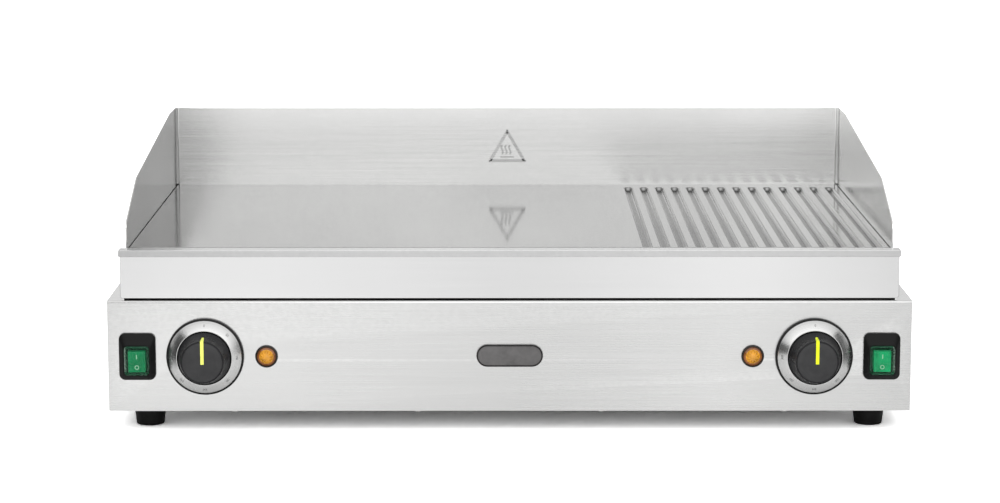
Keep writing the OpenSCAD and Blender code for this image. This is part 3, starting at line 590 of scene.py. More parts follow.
class Finish:
    """A material with a Principled shader and the nodes that feed it."""

    def __init__(self, name, **constants):
        self.material = bpy.data.materials.new(name)
        self.material.use_nodes = True
        self.tree = self.material.node_tree
        self.shader = next(n for n in self.tree.nodes if n.type == "BSDF_PRINCIPLED")
        self.at = node_of(self.tree, "ShaderNodeTexCoord").outputs["Object"]
        for socket, value in constants.items():
            self.shader.inputs[socket.replace("_", " ")].default_value = value

    def placed(self, group_name, **values):
        made = node_of(self.tree, "ShaderNodeGroup", node_tree=shared(group_name))
        self.tree.links.new(self.at, made.inputs["Vector"])
        for socket, value in values.items():
            made.inputs[socket].default_value = value
        return made.outputs

    def tone(self, dark, light, by, low=0.3, high=0.7):
        ramp = node_of(self.tree, "ShaderNodeValToRGB")
        ramp.color_ramp.elements[0].position = low
        ramp.color_ramp.elements[1].position = high
        ramp.color_ramp.elements[0].color = (*dark, 1.0)
        ramp.color_ramp.elements[1].color = (*light, 1.0)
        self.tree.links.new(by, ramp.inputs[0])
        return ramp.outputs[0]

    def mix(self, under, over, by):
        made = node_of(self.tree, "ShaderNodeMix", data_type="RGBA")
        self.tree.links.new(by, made.inputs[0])
        for socket, value in ((made.inputs[6], under), (made.inputs[7], over)):
            if isinstance(value, tuple):
                socket.default_value = (*value, 1.0)
            else:
                self.tree.links.new(value, socket)
        return made.outputs[2]

    def feed(self, socket, value):
        self.tree.links.new(value, self.shader.inputs[socket])

    def worn(self, under, over):
        """Base colour with another one on the worn edges."""
        self.feed("Base Color", self.mix(under, over, self.placed("wear")["Wear"]))

    def rough(self, by, low, high, start=0.3, end=0.7):
        self.feed("Roughness", remap(self.tree, by, start, end, low, high))

    def bump(self, height, distance, strength=1.0):
        made = node_of(self.tree, "ShaderNodeBump")
        made.inputs["Strength"].default_value = strength
        made.inputs["Distance"].default_value = distance
        self.tree.links.new(height, made.inputs["Height"])
        self.feed("Normal", made.outputs[0])


def shade(base, k):
    return tuple(min(1.0, c * k) for c in base)


def brushed_steel(
    name, base, lines, hairlines, low, high, depth=0.000012, cloud=0.06, contrast=0.06, edge_on=0.75,
):
    """Stainless sheet with a drawn grain, slight clouding and brighter worn edges."""
    finish = Finish(name, Metallic=1.0, Specular_Tint=(edge_on, edge_on, edge_on, 1.0))
    grain = finish.placed("grain", Lines=lines, Hairlines=hairlines)
    clouds = finish.placed("cloud")
    streaked = finish.tone(shade(base, 1 - contrast), shade(base, 1 + contrast), grain["Streaks"], 0.25, 0.75)
    clouded = finish.mix(streaked, shade(base, 1 - 2 * cloud),
                         remap(finish.tree, clouds["Cloud"], 0.45, 0.8, 0.0, 0.8))
    finish.worn(clouded, shade(base, 1.12))
    blend = maths(finish.tree, "MULTIPLY_ADD", clouds["Cloud"], 0.5)
    total = blend.node
    half = maths(finish.tree, "MULTIPLY", grain["Streaks"], 0.5)
    finish.tree.links.new(half, total.inputs[2])
    finish.rough(blend, low, high, 0.35, 0.65)
    finish.bump(grain["Height"], depth)
    return finish.material


def moulded(name, base, low, high, pitch, depth, wear):
    """Moulded plastic or rubber with a sparked texture and rubbed edges."""
    finish = Finish(name, Specular_IOR_Level=0.14)
    mould = finish.placed("mould", Pitch=pitch)
    finish.worn(finish.tone(shade(base, 0.85), shade(base, 1.15), mould["Mottle"]), shade(base, wear))
    finish.rough(mould["Mottle"], low, high)
    finish.bump(mould["Height"], depth)
    return finish.material


def dull_metal(name, base, low, high, size, depth=0.00003, other=None):
    """Plain metal with a mottled skin."""
    finish = Finish(name, Metallic=1.0)
    clouds = finish.placed("cloud", Size=(size, size, size))
    finish.worn(finish.tone(other or shade(base, 0.8), base, clouds["Cloud"]), shade(base, 1.2))
    finish.rough(clouds["Cloud"], low, high)
    finish.bump(clouds["Cloud"], depth)
    return finish.material


def lathe_turned(name, base, centre, low, high):
    """Aluminium ring with the fine grooves of the lathe."""
    finish = Finish(name, Metallic=1.0)
    lathe = finish.placed("lathe", Centre=centre)
    finish.feed("Base Color", finish.tone(shade(base, 0.86), shade(base, 1.06), lathe["Height"]))
    finish.rough(lathe["Tone"], low, high)
    finish.bump(lathe["Height"], 0.000035)
    return finish.material


def wool(name, base):
    """Needled insulation felt."""
    finish = Finish(name)
    grain = finish.placed("grain", Lines=(90.0, 260.0, 420.0), Hairlines=(900.0, 300.0, 1200.0))
    finish.feed("Base Color", finish.tone(shade(base, 0.72), base, grain["Height"], 0.4, 0.95))
    finish.rough(grain["Streaks"], 0.85, 1.0)
    finish.bump(grain["Height"], 0.0006)
    return finish.material


def clear_green(name):
    """Thin clear cover, tinted green, that shows most where it is seen edge on."""
    finish = Finish(name, Roughness=0.08, IOR=1.49)
    mould = finish.placed("mould", Pitch=220.0)
    finish.feed("Base Color", finish.tone((0.05, 0.22, 0.12), (0.09, 0.30, 0.17), mould["Mottle"]))
    edge_on = node_of(finish.tree, "ShaderNodeLayerWeight")
    edge_on.inputs["Blend"].default_value = 0.3
    finish.feed("Alpha", remap(finish.tree, edge_on.outputs["Facing"], 0.0, 0.9, 0.04, 0.7))
    finish.bump(mould["Height"], 0.00002)
    return finish.material


def translucent(name, base, glow, low, high, **constants):
    """Tinted plastic that lets some light through."""
    finish = Finish(name, **constants)
    mould = finish.placed("mould", Pitch=420.0)
    clouds = finish.placed("cloud", Size=(160.0, 160.0, 160.0))
    finish.feed("Base Color", finish.tone(shade(base, 0.75), shade(base, 1.3), clouds["Cloud"]))
    finish.feed("Emission Color", finish.tone(shade(base, 0.7), base, mould["Mottle"]))
    finish.shader.inputs["Emission Strength"].default_value = glow
    finish.rough(mould["Mottle"], low, high)
    finish.bump(mould["Height"], 0.00001)
    return finish.material


FINISHES = {}


def make_finishes():
    c = colours()
    along_x = ((5.0, 1000.0, 1000.0), (22.0, 4200.0, 4200.0))
    along_y = ((1000.0, 5.0, 1000.0), (4200.0, 22.0, 4200.0))
    steel, plate, tray, rubber, rocker = map(tuple, (c.steel, c.plate, c.tray, c.rubber, c.rocker))
    paints = {"left": tuple(c.pointer_left), "right": tuple(c.pointer_right)}
    FINISHES.update({
        "housing_steel": brushed_steel("Housing steel", steel, *along_x, 0.20, 0.32, 0.000007, edge_on=1.0),
        "guard_steel": brushed_steel("Guard steel", shade(steel, 1.22), *along_x, 0.16, 0.26),
        # The side guards are one steel in two tones, as painted shading: the right guard is lighter and has a
        # brighter edge tint than the left.
        "left_guard_painted_shading": brushed_steel(
            "Left guard steel, painted shade", shade(steel, 1.04), *along_y, 0.12, 0.2, 0.000008, 0.06, 0.05, 0.6,
        ),
        "right_guard_painted_shading": brushed_steel(
            "Right guard steel, painted light", shade(steel, 1.2), *along_y, 0.12, 0.2, 0.000008, 0.06, 0.05, 1.0,
        ),
        "plate_steel": brushed_steel(
            "Plate steel", plate, *along_x, 0.05, 0.11, 0.000002, 0.03, 0.03, 0.62,
        ),
        # Groove floors: darker than the plate as painted shade in the grooves, and also rougher.
        "groove_floor_painted_shade": brushed_steel(
            "Groove floor steel, painted shade", shade(plate, 0.8), *along_x, 0.12, 0.24, 0.00004, 0.08, 0.12, 0.46,
        ),
        "groove_wall_steel": brushed_steel("Groove wall steel", shade(plate, 1.05), *along_y, 0.2, 0.35),
        # Painted shade: the front-facing walls of the plate and its grooves, and the faces under the tray's lip.
        "front_and_underlip_painted_shade": brushed_steel("Steel in painted shade", shade(plate, 0.6), *along_y, 0.2, 0.35),
        # The emblem is the sheet's own steel, darkened as painted shade for its pressed relief.
        "emblem_painted_shade": brushed_steel("Emblem steel, painted shade", shade(steel, 0.82), *along_x, 0.2, 0.3, 0.000006),
        "tray_steel": brushed_steel("Tray steel", tray, *along_x, 0.14, 0.24, 0.000006, 0.03, 0.03),
        # The lip front is the tray's steel darkened as painted shade for its duller reflection; it is also
        # rougher.
        "lip_painted_shade": brushed_steel("Lip steel, painted shade", shade(tray, 0.72), *along_x, 0.3, 0.42, 0.000006, 0.03, 0.03),
        "inner_steel": dull_metal("Galvanised steel", (0.62, 0.63, 0.64), 0.32, 0.5, 70.0),
        "fastener_zinc": dull_metal("Zinc plate", (0.74, 0.74, 0.72), 0.2, 0.38, 400.0, 0.00001),
        "foot_rubber": moulded("Foot rubber", rubber, 0.42, 0.6, 900.0, 0.00004, 1.8),
        "insulation_wool": wool("Insulation felt", (0.80, 0.77, 0.68)),
        "heater_sheath": dull_metal(
            "Heater sheath", (0.20, 0.19, 0.18), 0.4, 0.6, 120.0, 0.00003, (0.11, 0.09, 0.08),
        ),
        "copper_tube": dull_metal(
            "Copper tube", (0.80, 0.42, 0.28), 0.25, 0.42, 200.0, 0.00001, (0.55, 0.26, 0.17),
        ),
        "thermostat_ceramic": moulded("Thermostat ceramic", (0.72, 0.67, 0.52), 0.45, 0.6, 700.0, 0.00004, 1.1),
        "dial_rim_black": moulded("Dial rim", (0.010, 0.010, 0.010), 0.18, 0.3, 900.0, 0.000006, 2.0),
        "knob_black": moulded("Knob plastic", tuple(c.knob), 0.24, 0.36, 1500.0, 0.00001, 1.8),
        "knob_face_grey": moulded("Knob face", tuple(c.knob_face), 0.38, 0.5, 1900.0, 0.00002, 1.4),
        "pointer_left": moulded("Left pointer paint", paints["left"], 0.3, 0.42, 900.0, 0.00001, 1.05),
        "pointer_right": moulded("Right pointer paint", paints["right"], 0.3, 0.42, 900.0, 0.00001, 1.05),
        "lamp_bezel_black": moulded("Lamp bezel", (0.022, 0.018, 0.016), 0.12, 0.24, 1200.0, 0.000006, 2.0),
        "lamp_lens_amber": translucent("Lamp lens", tuple(c.lens), 0.03, 0.03, 0.08),
        "lamp_collar": translucent("Lamp collar", (0.20, 0.07, 0.02), 0.05, 0.08, 0.18),
        "switch_frame_rubber": moulded("Switch frame", rubber, 0.34, 0.5, 1100.0, 0.00003, 2.0),
        "switch_body_black": moulded("Switch body", (0.012, 0.013, 0.012), 0.3, 0.45, 1200.0, 0.00002, 1.6),
        "rocker_green": translucent("Rocker", rocker, 0.25, 0.3, 0.45, Specular_IOR_Level=0.15),
        # The right rocker is the same green made lighter: painted light.
        "right_rocker_painted_light": translucent(
            "Right rocker, painted light", shade(rocker, 1.7), 0.25, 0.3, 0.45, Specular_IOR_Level=0.15,
        ),
        "rocker_mark": moulded("Rocker mark", (0.42, 0.70, 0.50), 0.3, 0.45, 900.0, 0.00001, 1.05),
        "switch_cover_clear": clear_green("Switch cover"),
        "badge_grey": moulded("Badge", tuple(c.badge), 0.26, 0.4, 1400.0, 0.00002, 1.5),
        "badge_rim": moulded("Badge rim", (0.012, 0.011, 0.011), 0.2, 0.32, 1400.0, 0.00002, 1.8),
        "bonding_brass": dull_metal("Brass", (0.80, 0.60, 0.28), 0.22, 0.38, 240.0, 0.00001),
        "wire_insulation": moulded("Wire silicone", (0.30, 0.13, 0.08), 0.45, 0.6, 800.0, 0.00003, 1.2),
        "dial_figure": moulded("Dial figures", (0.06, 0.06, 0.06), 0.4, 0.5, 900.0, 0.000004, 1.1),
    })
    for side in SIDES:
        centre = middle(f"{side}_dial_ring")
        FINISHES[f"{side}_dial_ring"] = lathe_turned(
            f"{side.title()} dial ring", (0.66, 0.66, 0.655), tuple(centre), 0.2, 0.3
        )


# ------------------------------------------------------------------ operators


class Sided:
    """A step that builds its pieces on the left and then on the right."""

    def execute(self, context):
        for side in SIDES:
            self.build(side)
        return {"FINISHED"}


class GRIDDLE_OT_stage(bpy.types.Operator):
    """Adds the floor, the soft light and the camera."""

    bl_idname = "griddle.stage"
    bl_label = "Stage"

    # Levels of the painted reflection across the floor ahead.
    PAINTED_REFLECTION_RAMP = (
        (0.0, 0.06), (0.07, 0.3), (0.12, 1.0), (0.3, 0.97), (0.5, 0.82),
        (0.6, 0.88), (0.71, 1.0), (0.80, 0.92), (0.87, 0.76), (1.0, 0.72),
    )
    FLAG_PLACE, FLAG_END, FLAG_FOOT, FLAG_TOP, FLAG_THICKNESS = 0.62, -0.3, 0.004, 0.34, 0.004
    OVERHEAD_TURN = (math.radians(38), math.radians(-12), 0)
    OVERHEAD_SPREAD = math.radians(70)

    def execute(self, context):
        s = studio()
        deselect()
        bpy.ops.mesh.primitive_grid_add(x_subdivisions=8, y_subdivisions=8, size=24, location=(0, 0, 0))
        floor = settle(bpy.context.object, "studio_floor")
        paper = Finish("Floor paper", Specular_IOR_Level=0.0)
        clouds = paper.placed("cloud", Size=(2.0, 2.0, 2.0))
        tone = s.floor_tone
        plain = paper.tone((tone * 0.99,) * 3, (tone,) * 3, clouds["Cloud"])
        seen = node_of(paper.tree, "ShaderNodeLightPath").outputs
        # Painted reflection: glossy rays see a toned floor, the camera sees the plain one.
        paper.feed("Base Color", paper.mix(plain, self.pool(paper, tone), seen["Is Glossy Ray"]))
        paper.rough(clouds["Cloud"], 0.9, 1.0)
        self.brighten(paper, seen["Is Camera Ray"])
        floor.data.materials.append(paper.material)

        scene = context.scene
        scene.view_settings.view_transform = "Standard"
        scene.view_settings.look = "None"
        self.room(scene, s)
        self.flags()
        self.sky_panel("overhead_panel", self.OVERHEAD_TURN, s.overhead)

        camera = bpy.data.cameras.new("camera")
        camera.lens = s.lens
        camera.sensor_width = 36.0
        camera.clip_end = 60.0
        holder = bpy.data.objects.new("camera", camera)
        scene.collection.objects.link(holder)
        holder.location = s.camera_at
        holder.rotation_euler = (math.pi / 2 - s.camera_tilt, 0, -s.camera_turn)
        scene.camera = holder
        return {"FINISHED"}

    def pool(self, paper, tone):
        """Painted reflection: the floor colour that only the metal's reflections see, a ramp across it ahead, dark
        near the right flank, even behind.
        """
        tree = paper.tree
        x, y, _z = split(tree, paper.at)
        front = span_of("housing_shell")[0].y
        mirrored = 2 * front - studio().camera_at[1]
        away = maths(tree, "SUBTRACT", y, mirrored)
        seen_at = maths(tree, "DIVIDE", maths(tree, "MULTIPLY", x, front - mirrored), away)
        ramp = node_of(tree, "ShaderNodeValToRGB")
        tree.links.new(remap(tree, seen_at, -0.5, 0.5, 0.0, 1.0), ramp.inputs[0])
        made = ramp.color_ramp.elements
        made.remove(made[1])
        for i, (place, level) in enumerate(self.PAINTED_REFLECTION_RAMP):
            stop = made[0] if i == 0 else made.new(place)
            stop.position = place
            stop.color = (*(tone * level,) * 3, 1.0)
        right = remap(tree, x, 0.42, 0.5, 0.0, 1.0)
        near = remap(tree, y, -0.65, -0.5, 0.0, 1.0)
        ahead = paper.mix(ramp.outputs[0], (0.06, 0.06, 0.06), maths(tree, "MULTIPLY", right, near))
        return paper.mix(ahead, (tone * 0.8,) * 3, remap(tree, y, -0.34, -0.22, 0.0, 1.0))

    def brighten(self, paper, seen):
        """The camera sees the paper twice as bright, so that only the close shadow is left."""
        tree = paper.tree
        out = next(n for n in tree.nodes if n.type == "OUTPUT_MATERIAL")
        twice = node_of(tree, "ShaderNodeAddShader")
        either = node_of(tree, "ShaderNodeMixShader")
        for socket in (twice.inputs[0], twice.inputs[1], either.inputs[1]):
            tree.links.new(paper.shader.outputs[0], socket)
        tree.links.new(seen, either.inputs[0])
        tree.links.new(twice.outputs[0], either.inputs[2])
        tree.links.new(either.outputs[0], out.inputs["Surface"])

    def room(self, scene, s):
        """White room, darker low down to both sides ahead, and plain white where the camera sees it."""
        world = bpy.data.worlds.new("Room")
        scene.world = world
        world.use_nodes = True
        tree = world.node_tree
        tree.nodes.clear()
        toward = node_of(tree, "ShaderNodeTexCoord").outputs["Generated"]
        x, y, z = split(tree, toward)
        sideways = node_of(tree, "ShaderNodeMath", operation="ABSOLUTE")
        tree.links.new(x, sideways.inputs[0])
        flank = remap(tree, sideways.outputs[0], 0.62, 0.95, 0.0, 1.0)
        low = remap(tree, z, 0.1, 0.6, 1.0, 0.0)
        forward = remap(tree, y, -0.25, -0.05, 1.0, 0.0)
        dark = maths(tree, "MULTIPLY", maths(tree, "MULTIPLY", flank, low), forward)
        level = remap(tree, dark, 0.0, 1.0, s.surround, s.surround * 0.3)
        ahead = remap(tree, y, -0.8, -0.3, 1.0, 0.0)
        raised = remap(tree, z, -0.02, 0.12, 0.0, 1.0)
        lift = maths(tree, "MULTIPLY", maths(tree, "MULTIPLY", ahead, raised), s.front_lift)
        level = maths(tree, "ADD", level, lift)
        lit = node_of(tree, "ShaderNodeBackground")
        tree.links.new(level, lit.inputs["Strength"])
        plain = node_of(tree, "ShaderNodeBackground")
        plain.inputs["Strength"].default_value = 1.05
        for background in (lit, plain):
            background.inputs["Color"].default_value = (1, 1, 1, 1)
        seen = node_of(tree, "ShaderNodeLightPath")
        both = node_of(tree, "ShaderNodeMixShader")
        tree.links.new(seen.outputs["Is Camera Ray"], both.inputs[0])
        tree.links.new(lit.outputs[0], both.inputs[1])
        tree.links.new(plain.outputs[0], both.inputs[2])
        out = node_of(tree, "ShaderNodeOutputWorld")
        tree.links.new(both.outputs[0], out.inputs[0])

    def flags(self):
        """Dark cards ahead at both sides, seen only in the reflections of the metal."""
        for name, side, level, reach in (("left_flag", -1, 0.05, -1.3), ("right_flag", 1, 0.1, -0.55)):
            paint = Finish(name.replace("_", " ").title(), Specular_IOR_Level=0.0)
            clouds = paint.placed("cloud")
            paint.feed("Base Color", paint.tone((level * 0.8,) * 3, (level,) * 3, clouds["Cloud"]))
            x, half = side * self.FLAG_PLACE, self.FLAG_THICKNESS / 2
            card = block(name, (x - half, reach, self.FLAG_FOOT), (x + half, self.FLAG_END, self.FLAG_TOP))
            card.data.materials.append(paint.material)
            for ray in ("camera", "diffuse", "transmission", "shadow"):
                setattr(card, f"visible_{ray}", False)

    def sky_panel(self, name, turn, power):
        """A broad, far light from overhead, a little to the front and left."""
        light = bpy.data.lights.new(name, "SUN")
        light.energy = power
        light.angle = self.OVERHEAD_SPREAD
        holder = bpy.data.objects.new(name, light)
        bpy.context.scene.collection.objects.link(holder)
        holder.location = (0, 0, 2)
        holder.rotation_euler = turn
        holder.visible_glossy = False


class GRIDDLE_OT_finishes(bpy.types.Operator):
    """Makes the finishes and gives each node its own."""

    bl_idname = "griddle.finishes"
    bl_label = "Finishes"

    def execute(self, context):
        make_finishes()
        special = {
            "left_guard": "left_guard_painted_shading", "right_guard": "right_guard_painted_shading",
            "left_pointer": "pointer_left", "right_pointer": "pointer_right",
            "left_dial_ring": "left_dial_ring", "right_dial_ring": "right_dial_ring",
        }
        for part in frame["record"]["subparts"]:
            node = frame["nodes"][part["node"]]
            finish = FINISHES[special.get(part["node"], part["material_slot"])]
            if not node.material_slots:
                node.data.materials.append(finish)
            for holder in node.material_slots:
                holder.material = finish
        return {"FINISHED"}


class GRIDDLE_OT_cabinet(bpy.types.Operator):
    """Housing with rounded folds, and its back and bottom plates with broken edges."""

    bl_idname = "griddle.cabinet"
    bl_label = "Cabinet"

    SHEET_EDGE = 0.0003

    def execute(self, context):
        dressed("housing_cover", "housing_shell", sizes().housing_fold, "housing_steel", 3)
        for name, node in (("rear_cover", "back_panel"), ("under_cover", "bottom_plate")):
            dressed(name, node, self.SHEET_EDGE, "housing_steel")
        return {"FINISHED"}


class GRIDDLE_OT_splash_guard(bpy.types.Operator):
    """Side guards, and the folded back guard with its pressed heat emblem."""

    bl_idname = "griddle.splash_guard"
    bl_label = "Splash guard"

    SHEET = 0.0012
    FLANGE = 0.012
    RETURN = 0.008
    RELIEF = 0.0009

    def execute(self, context):
        for side in SIDES:
            # Each side guard gets its own tone of the steel: painted shading.
            node, finish = f"{side}_guard", f"{side}_guard_painted_shading"
            dressed(f"{side}_splash_guard", node, sizes().guard_edge, "guard_steel", finish=finish)
        fit_out(self.back(), "guard_steel", ["back_guard"])
        # The emblem's darker steel is painted shade.
        fit_out(self.emblem(), "guard_steel", finish="emblem_painted_shade")
        return {"FINISHED"}

    def back(self):
        low, high = span_of("back_guard")
        face = low.y + self.FLANGE
        t = self.SHEET
        wall = block("back_splash_guard", (low.x, face, low.z + t * 0.5), (high.x, face + t, high.z))
        edit(wall, False)
        select_edges(wall, lambda a, b: abs(a.z - b.z) > 0.01 and max(a.y, b.y) < face + t / 2)
        round_off(t * 0.95, 5)
        done()
        start, base, top = face + t * 0.5, low.z + 2 * t, high.z - 0.0001
        pieces = [
            wall,
            block("foot", (low.x, low.y, low.z), (high.x, face + t, low.z + t)),
            block("top_return", (low.x, start, high.z - self.RETURN), (high.x, face + 2 * t, top)),
            block("left_return", (low.x, start, base), (low.x + t, high.y, top)),
            block("right_return", (high.x - t, start, base), (high.x, high.y, top)),
        ]
        for piece in pieces:
            soften(piece, sizes().guard_edge)
        return join(pieces, "back_splash_guard")

    def emblem(self):
        """Blank triangle with three heat strokes over a bar, pressed out of the sheet."""
        face = span_of("back_guard")[0].y + self.FLANGE
        wide = sizes().emblem_width
        at = Vector((0, face, span_of("griddle_plate")[1].z + sizes().emblem_rise))
        deselect()
        bpy.ops.mesh.primitive_circle_add(vertices=3, radius=wide * 0.56, fill_type="NGON", location=(0, 0, 0))
        frame_ring = settle(bpy.context.object, "heat_emblem")
        edit(frame_ring)
        bpy.ops.mesh.bevel(affect="VERTICES", offset=wide * 0.07, segments=6)
        bpy.ops.mesh.inset(thickness=wide * 0.075)
        bpy.ops.mesh.delete(type="FACE")
        bpy.ops.mesh.select_all(action="SELECT")
        push(0, 0, self.RELIEF)
        done()
        outward(frame_ring)
        strokes = [
            self.stroke((i * 0.095 - 0.03) * wide, wide * 0.03, wide * 0.048, wide * 0.24) for i in (-1, 0, 1)
        ]
        bar = block("bar", (-wide * 0.17, -wide * 0.175, 0), (wide * 0.17, -wide * 0.125, self.RELIEF))
        whole = join([frame_ring, *strokes, bar], "heat_emblem")
        whole.rotation_euler = (math.pi / 2, 0, 0)
        whole.location = at + Vector((0, 0.0004, 0))
        settle(whole)
        soften(whole, 0.0004, 3)
        return whole

    def stroke(self, x, y, width, height):
        """A wavy upright stroke."""
        obj = block("stroke", (x - width / 2, y - height / 2, 0), (x + width / 2, y + height / 2, self.RELIEF))
        edit(obj, False)
        select_edges(obj, lambda a, b: abs(a.y - b.y) > height / 2)
        bpy.ops.mesh.subdivide(number_cuts=10)
        done()
        for vert in obj.data.vertices:
            vert.co.x -= width * 0.4 * math.sin((vert.co.y - y) / height * 2 * math.pi)
        return obj


class GRIDDLE_OT_plate(bpy.types.Operator):
    """Cooking plate with its grooves and broken edges."""

    bl_idname = "griddle.plate"
    bl_label = "Plate"

    def execute(self, context):
        plate = dressed("cooking_plate", "griddle_plate", sizes().plate_edge, "plate_steel")
        add_finishes(plate, "groove_floor_painted_shade", "front_and_underlip_painted_shade", "groove_wall_steel")
        low, high = span_of("griddle_plate")
        # Faces are toned by the way they turn: groove floors darker (painted shade, and rougher), faces turned to
        # the front darker still (painted shade), and the other walls near the plate's own tone.
        for face in plate.data.polygons:
            if low.z + 0.001 < face.center.z < high.z - 0.00002:
                face.material_index = 1 if face.normal.z > 0.95 else 2 if face.normal.y < -0.4 else 3
        return {"FINISHED"}


class GRIDDLE_OT_tray(bpy.types.Operator):
    """Grease tray with its folded lip."""

    bl_idname = "griddle.tray"
    bl_label = "Grease tray"

    def execute(self, context):
        tray = dressed("drip_tray", "grease_tray", sizes().tray_edge, "tray_steel", body="grease_tray")
        add_finishes(tray, "lip_painted_shade", "front_and_underlip_painted_shade")
        low, high = span_of("grease_tray")
        # Painted shade: the lip front is darker than the tray (it is also rougher), and the faces under the lip
        # are darker still.
        for face in tray.data.polygons:
            if face.center.y < low.y + 0.001 and high.z - 0.0064 < face.center.z < high.z - 0.0004:
                face.material_index = 1
            elif face.center.y < low.y + 0.004 and face.center.z < high.z - 0.0064 and face.normal.y > -0.97:
                face.material_index = 2
        return {"FINISHED"}


class GRIDDLE_OT_dials(Sided, bpy.types.Operator):
    """Black dial rims and turned rings with their figures."""

    bl_idname = "griddle.dials"
    bl_label = "Dials"

    FIGURES = ("0", "50", "100", "150", "200", "250", "300")

    def build(self, side):
        rim_node, ring_node = f"{side}_dial_rim", f"{side}_dial_ring"
        low, high = span_of(rim_node)
        axis, front, outer = axis_of(rim_node), high.y, radius_of(rim_node)
        ring_out, ring_in = radius_of(ring_node), self.inner_radius(ring_node, axis)
        top = (front - span_of(ring_node)[0].y) / MM
        rim_h = (front - low.y) / MM
        rim = closed_ring(f"{side}_rim", axis, front, [
            (12.0, 0.0), (outer, 0.0), (outer - 0.1, rim_h - 1.2), (outer - 0.35, rim_h - 0.5),
            (outer - 0.8, rim_h - 0.1), (outer - 1.2, rim_h), (ring_out + 0.25, rim_h),
            (ring_out + 0.08, rim_h - 0.2), (ring_out + 0.08, 1.5), (12.0, 1.5),
        ])
        smooth(rim)
        fit_out(rim, "dial_rim_black", [rim_node])

        self.slope = ((ring_out - 0.15, rim_h + 0.1), (ring_in + 1.0, top - 0.1))
        ring = closed_ring(f"{side}_ring", axis, front, [
            (ring_in, 1.5), (ring_out, 1.5), (ring_out, rim_h - 0.05), *self.slope,
            (ring_in + 0.75, top), (ring_in + 0.3, top), (ring_in, top - 0.4),
        ])
        smooth(ring, 20.0)
        fit_out(ring, "dial_ring_aluminium", [ring_node], finish=ring_node)

        marks = [self.figure(text, 45.0 * i, axis, front) for i, text in enumerate(self.FIGURES)]
        marks = join(marks, f"{side}_dial_figures")
        fit_out(marks, "dial_rim_black", finish="dial_figure")

    def inner_radius(self, node, axis):
        points = [vert.co for vert in frame["nodes"][node].data.vertices]
        return min(math.hypot(point.x - axis[0], point.z - axis[1]) for point in points) / MM

    def figure(self, text, angle, axis, front):
        """A figure laid on the sloped ring, its foot towards the knob."""
        deselect()
        bpy.ops.object.text_add(location=(0, 0, 0))
        obj = bpy.context.object
        obj.data.body = text
        obj.data.size = sizes().mark_height * 1.35
        obj.data.align_x = "CENTER"
        obj.data.align_y = "CENTER"
        obj.data.resolution_u = 3
        obj.data.extrude = sizes().mark_thickness
        bpy.ops.object.convert(target="MESH")
        obj = bpy.context.object
        (r0, h0), (r1, h1) = self.slope
        mid = (r0 + r1) / 2 * MM
        for vert in obj.data.vertices:
            across, up, out = vert.co
            radius = mid + up
            turn = math.radians(angle) + across / mid
            height = (h0 + (h1 - h0) * (radius / MM - r0) / (r1 - r0)) * MM + out
            vert.co = (
                axis[0] + radius * math.sin(turn), front - height, axis[1] + radius * math.cos(turn),
            )
        return obj


class GRIDDLE_OT_knobs(Sided, bpy.types.Operator):
    """Knobs with a hollow skirt, a satin face and a painted pointer."""

    bl_idname = "griddle.knobs"
    bl_label = "Knobs"

    def build(self, side):
        body = f"{side}_knob"
        low, high = span_of(body)
        axis, front, skirt = axis_of(body), high.y, radius_of(body)
        tall = (high.y - low.y) / MM
        face_r = radius_of(f"{side}_knob_face")
        neck = face_r + 1.4
        hollow = [
            (neck + (skirt - 0.3 - neck) * (1 - i / 12) ** 2, 6.5 + (tall - 7.9) * i / 12) for i in range(13)
        ]
        grip = turned_piece(f"{side}_knob_grip", axis, front, [
            (skirt - 0.6, 0.0), (skirt - 0.15, 0.15), (skirt, 0.6), (skirt, 5.6), (skirt - 0.1, 6.1), *hollow,
            (neck - 0.05, tall - 0.9), (neck - 0.25, tall - 0.4), (neck - 0.6, tall - 0.08),
            (neck - 0.95, tall), (face_r + 0.15, tall - 0.1), (face_r + 0.05, tall - 0.35),
            (face_r - 0.3, tall - 0.5),
        ], 50.0)
        fit_out(grip, "knob_black", [body], body)

        face = turned_piece(f"{side}_knob_disc", axis, front, [
            (face_r - 0.05, tall - 0.75), (face_r - 0.05, tall - 0.25), (face_r - 0.3, tall - 0.02),
            (face_r * 0.66, tall - 0.07), (face_r * 0.33, tall - 0.10), (1.0, tall - 0.11),
        ], 50.0)
        fit_out(face, "knob_face_grey", [f"{side}_knob_face"], body)

        self.pointer(side, body)

    def pointer(self, side, body):
        node = f"{side}_pointer"
        low, high = span_of(node)
        stripe = softened_copy(f"{side}_pointer_stripe", node, 0.0001)
        half = (high.x - low.x) / 2
        edit(stripe, False)
        select_edges(stripe, lambda a, b: along_y_edge(a, b) and max(a.z, b.z) < low.z + 0.0004)
        round_off(half * 0.8, 6)
        bpy.ops.mesh.select_all(action="SELECT")
        top = high.z - sizes().pointer_cut
        bpy.ops.mesh.bisect(plane_co=(0, 0, top), plane_no=(0, 0, 1), clear_outer=True, use_fill=True)
        bpy.ops.mesh.select_all(action="SELECT")
        bpy.ops.mesh.bisect(plane_co=(0, 0, top - half * 0.5), plane_no=(0, 0, 1))
        done()
        for vert in stripe.data.vertices:
            near_top = max(0.0, 1 - (top - vert.co.z) / half)
            narrow = 0.86 * math.sqrt(1 - 0.75 * near_top ** 2)
            vert.co.x = middle(node).x + (vert.co.x - middle(node).x) * narrow
        outward(stripe)
        smooth(stripe, 30.0)
        fit_out(stripe, "pointer_yellow", [node], body, f"pointer_{side}")


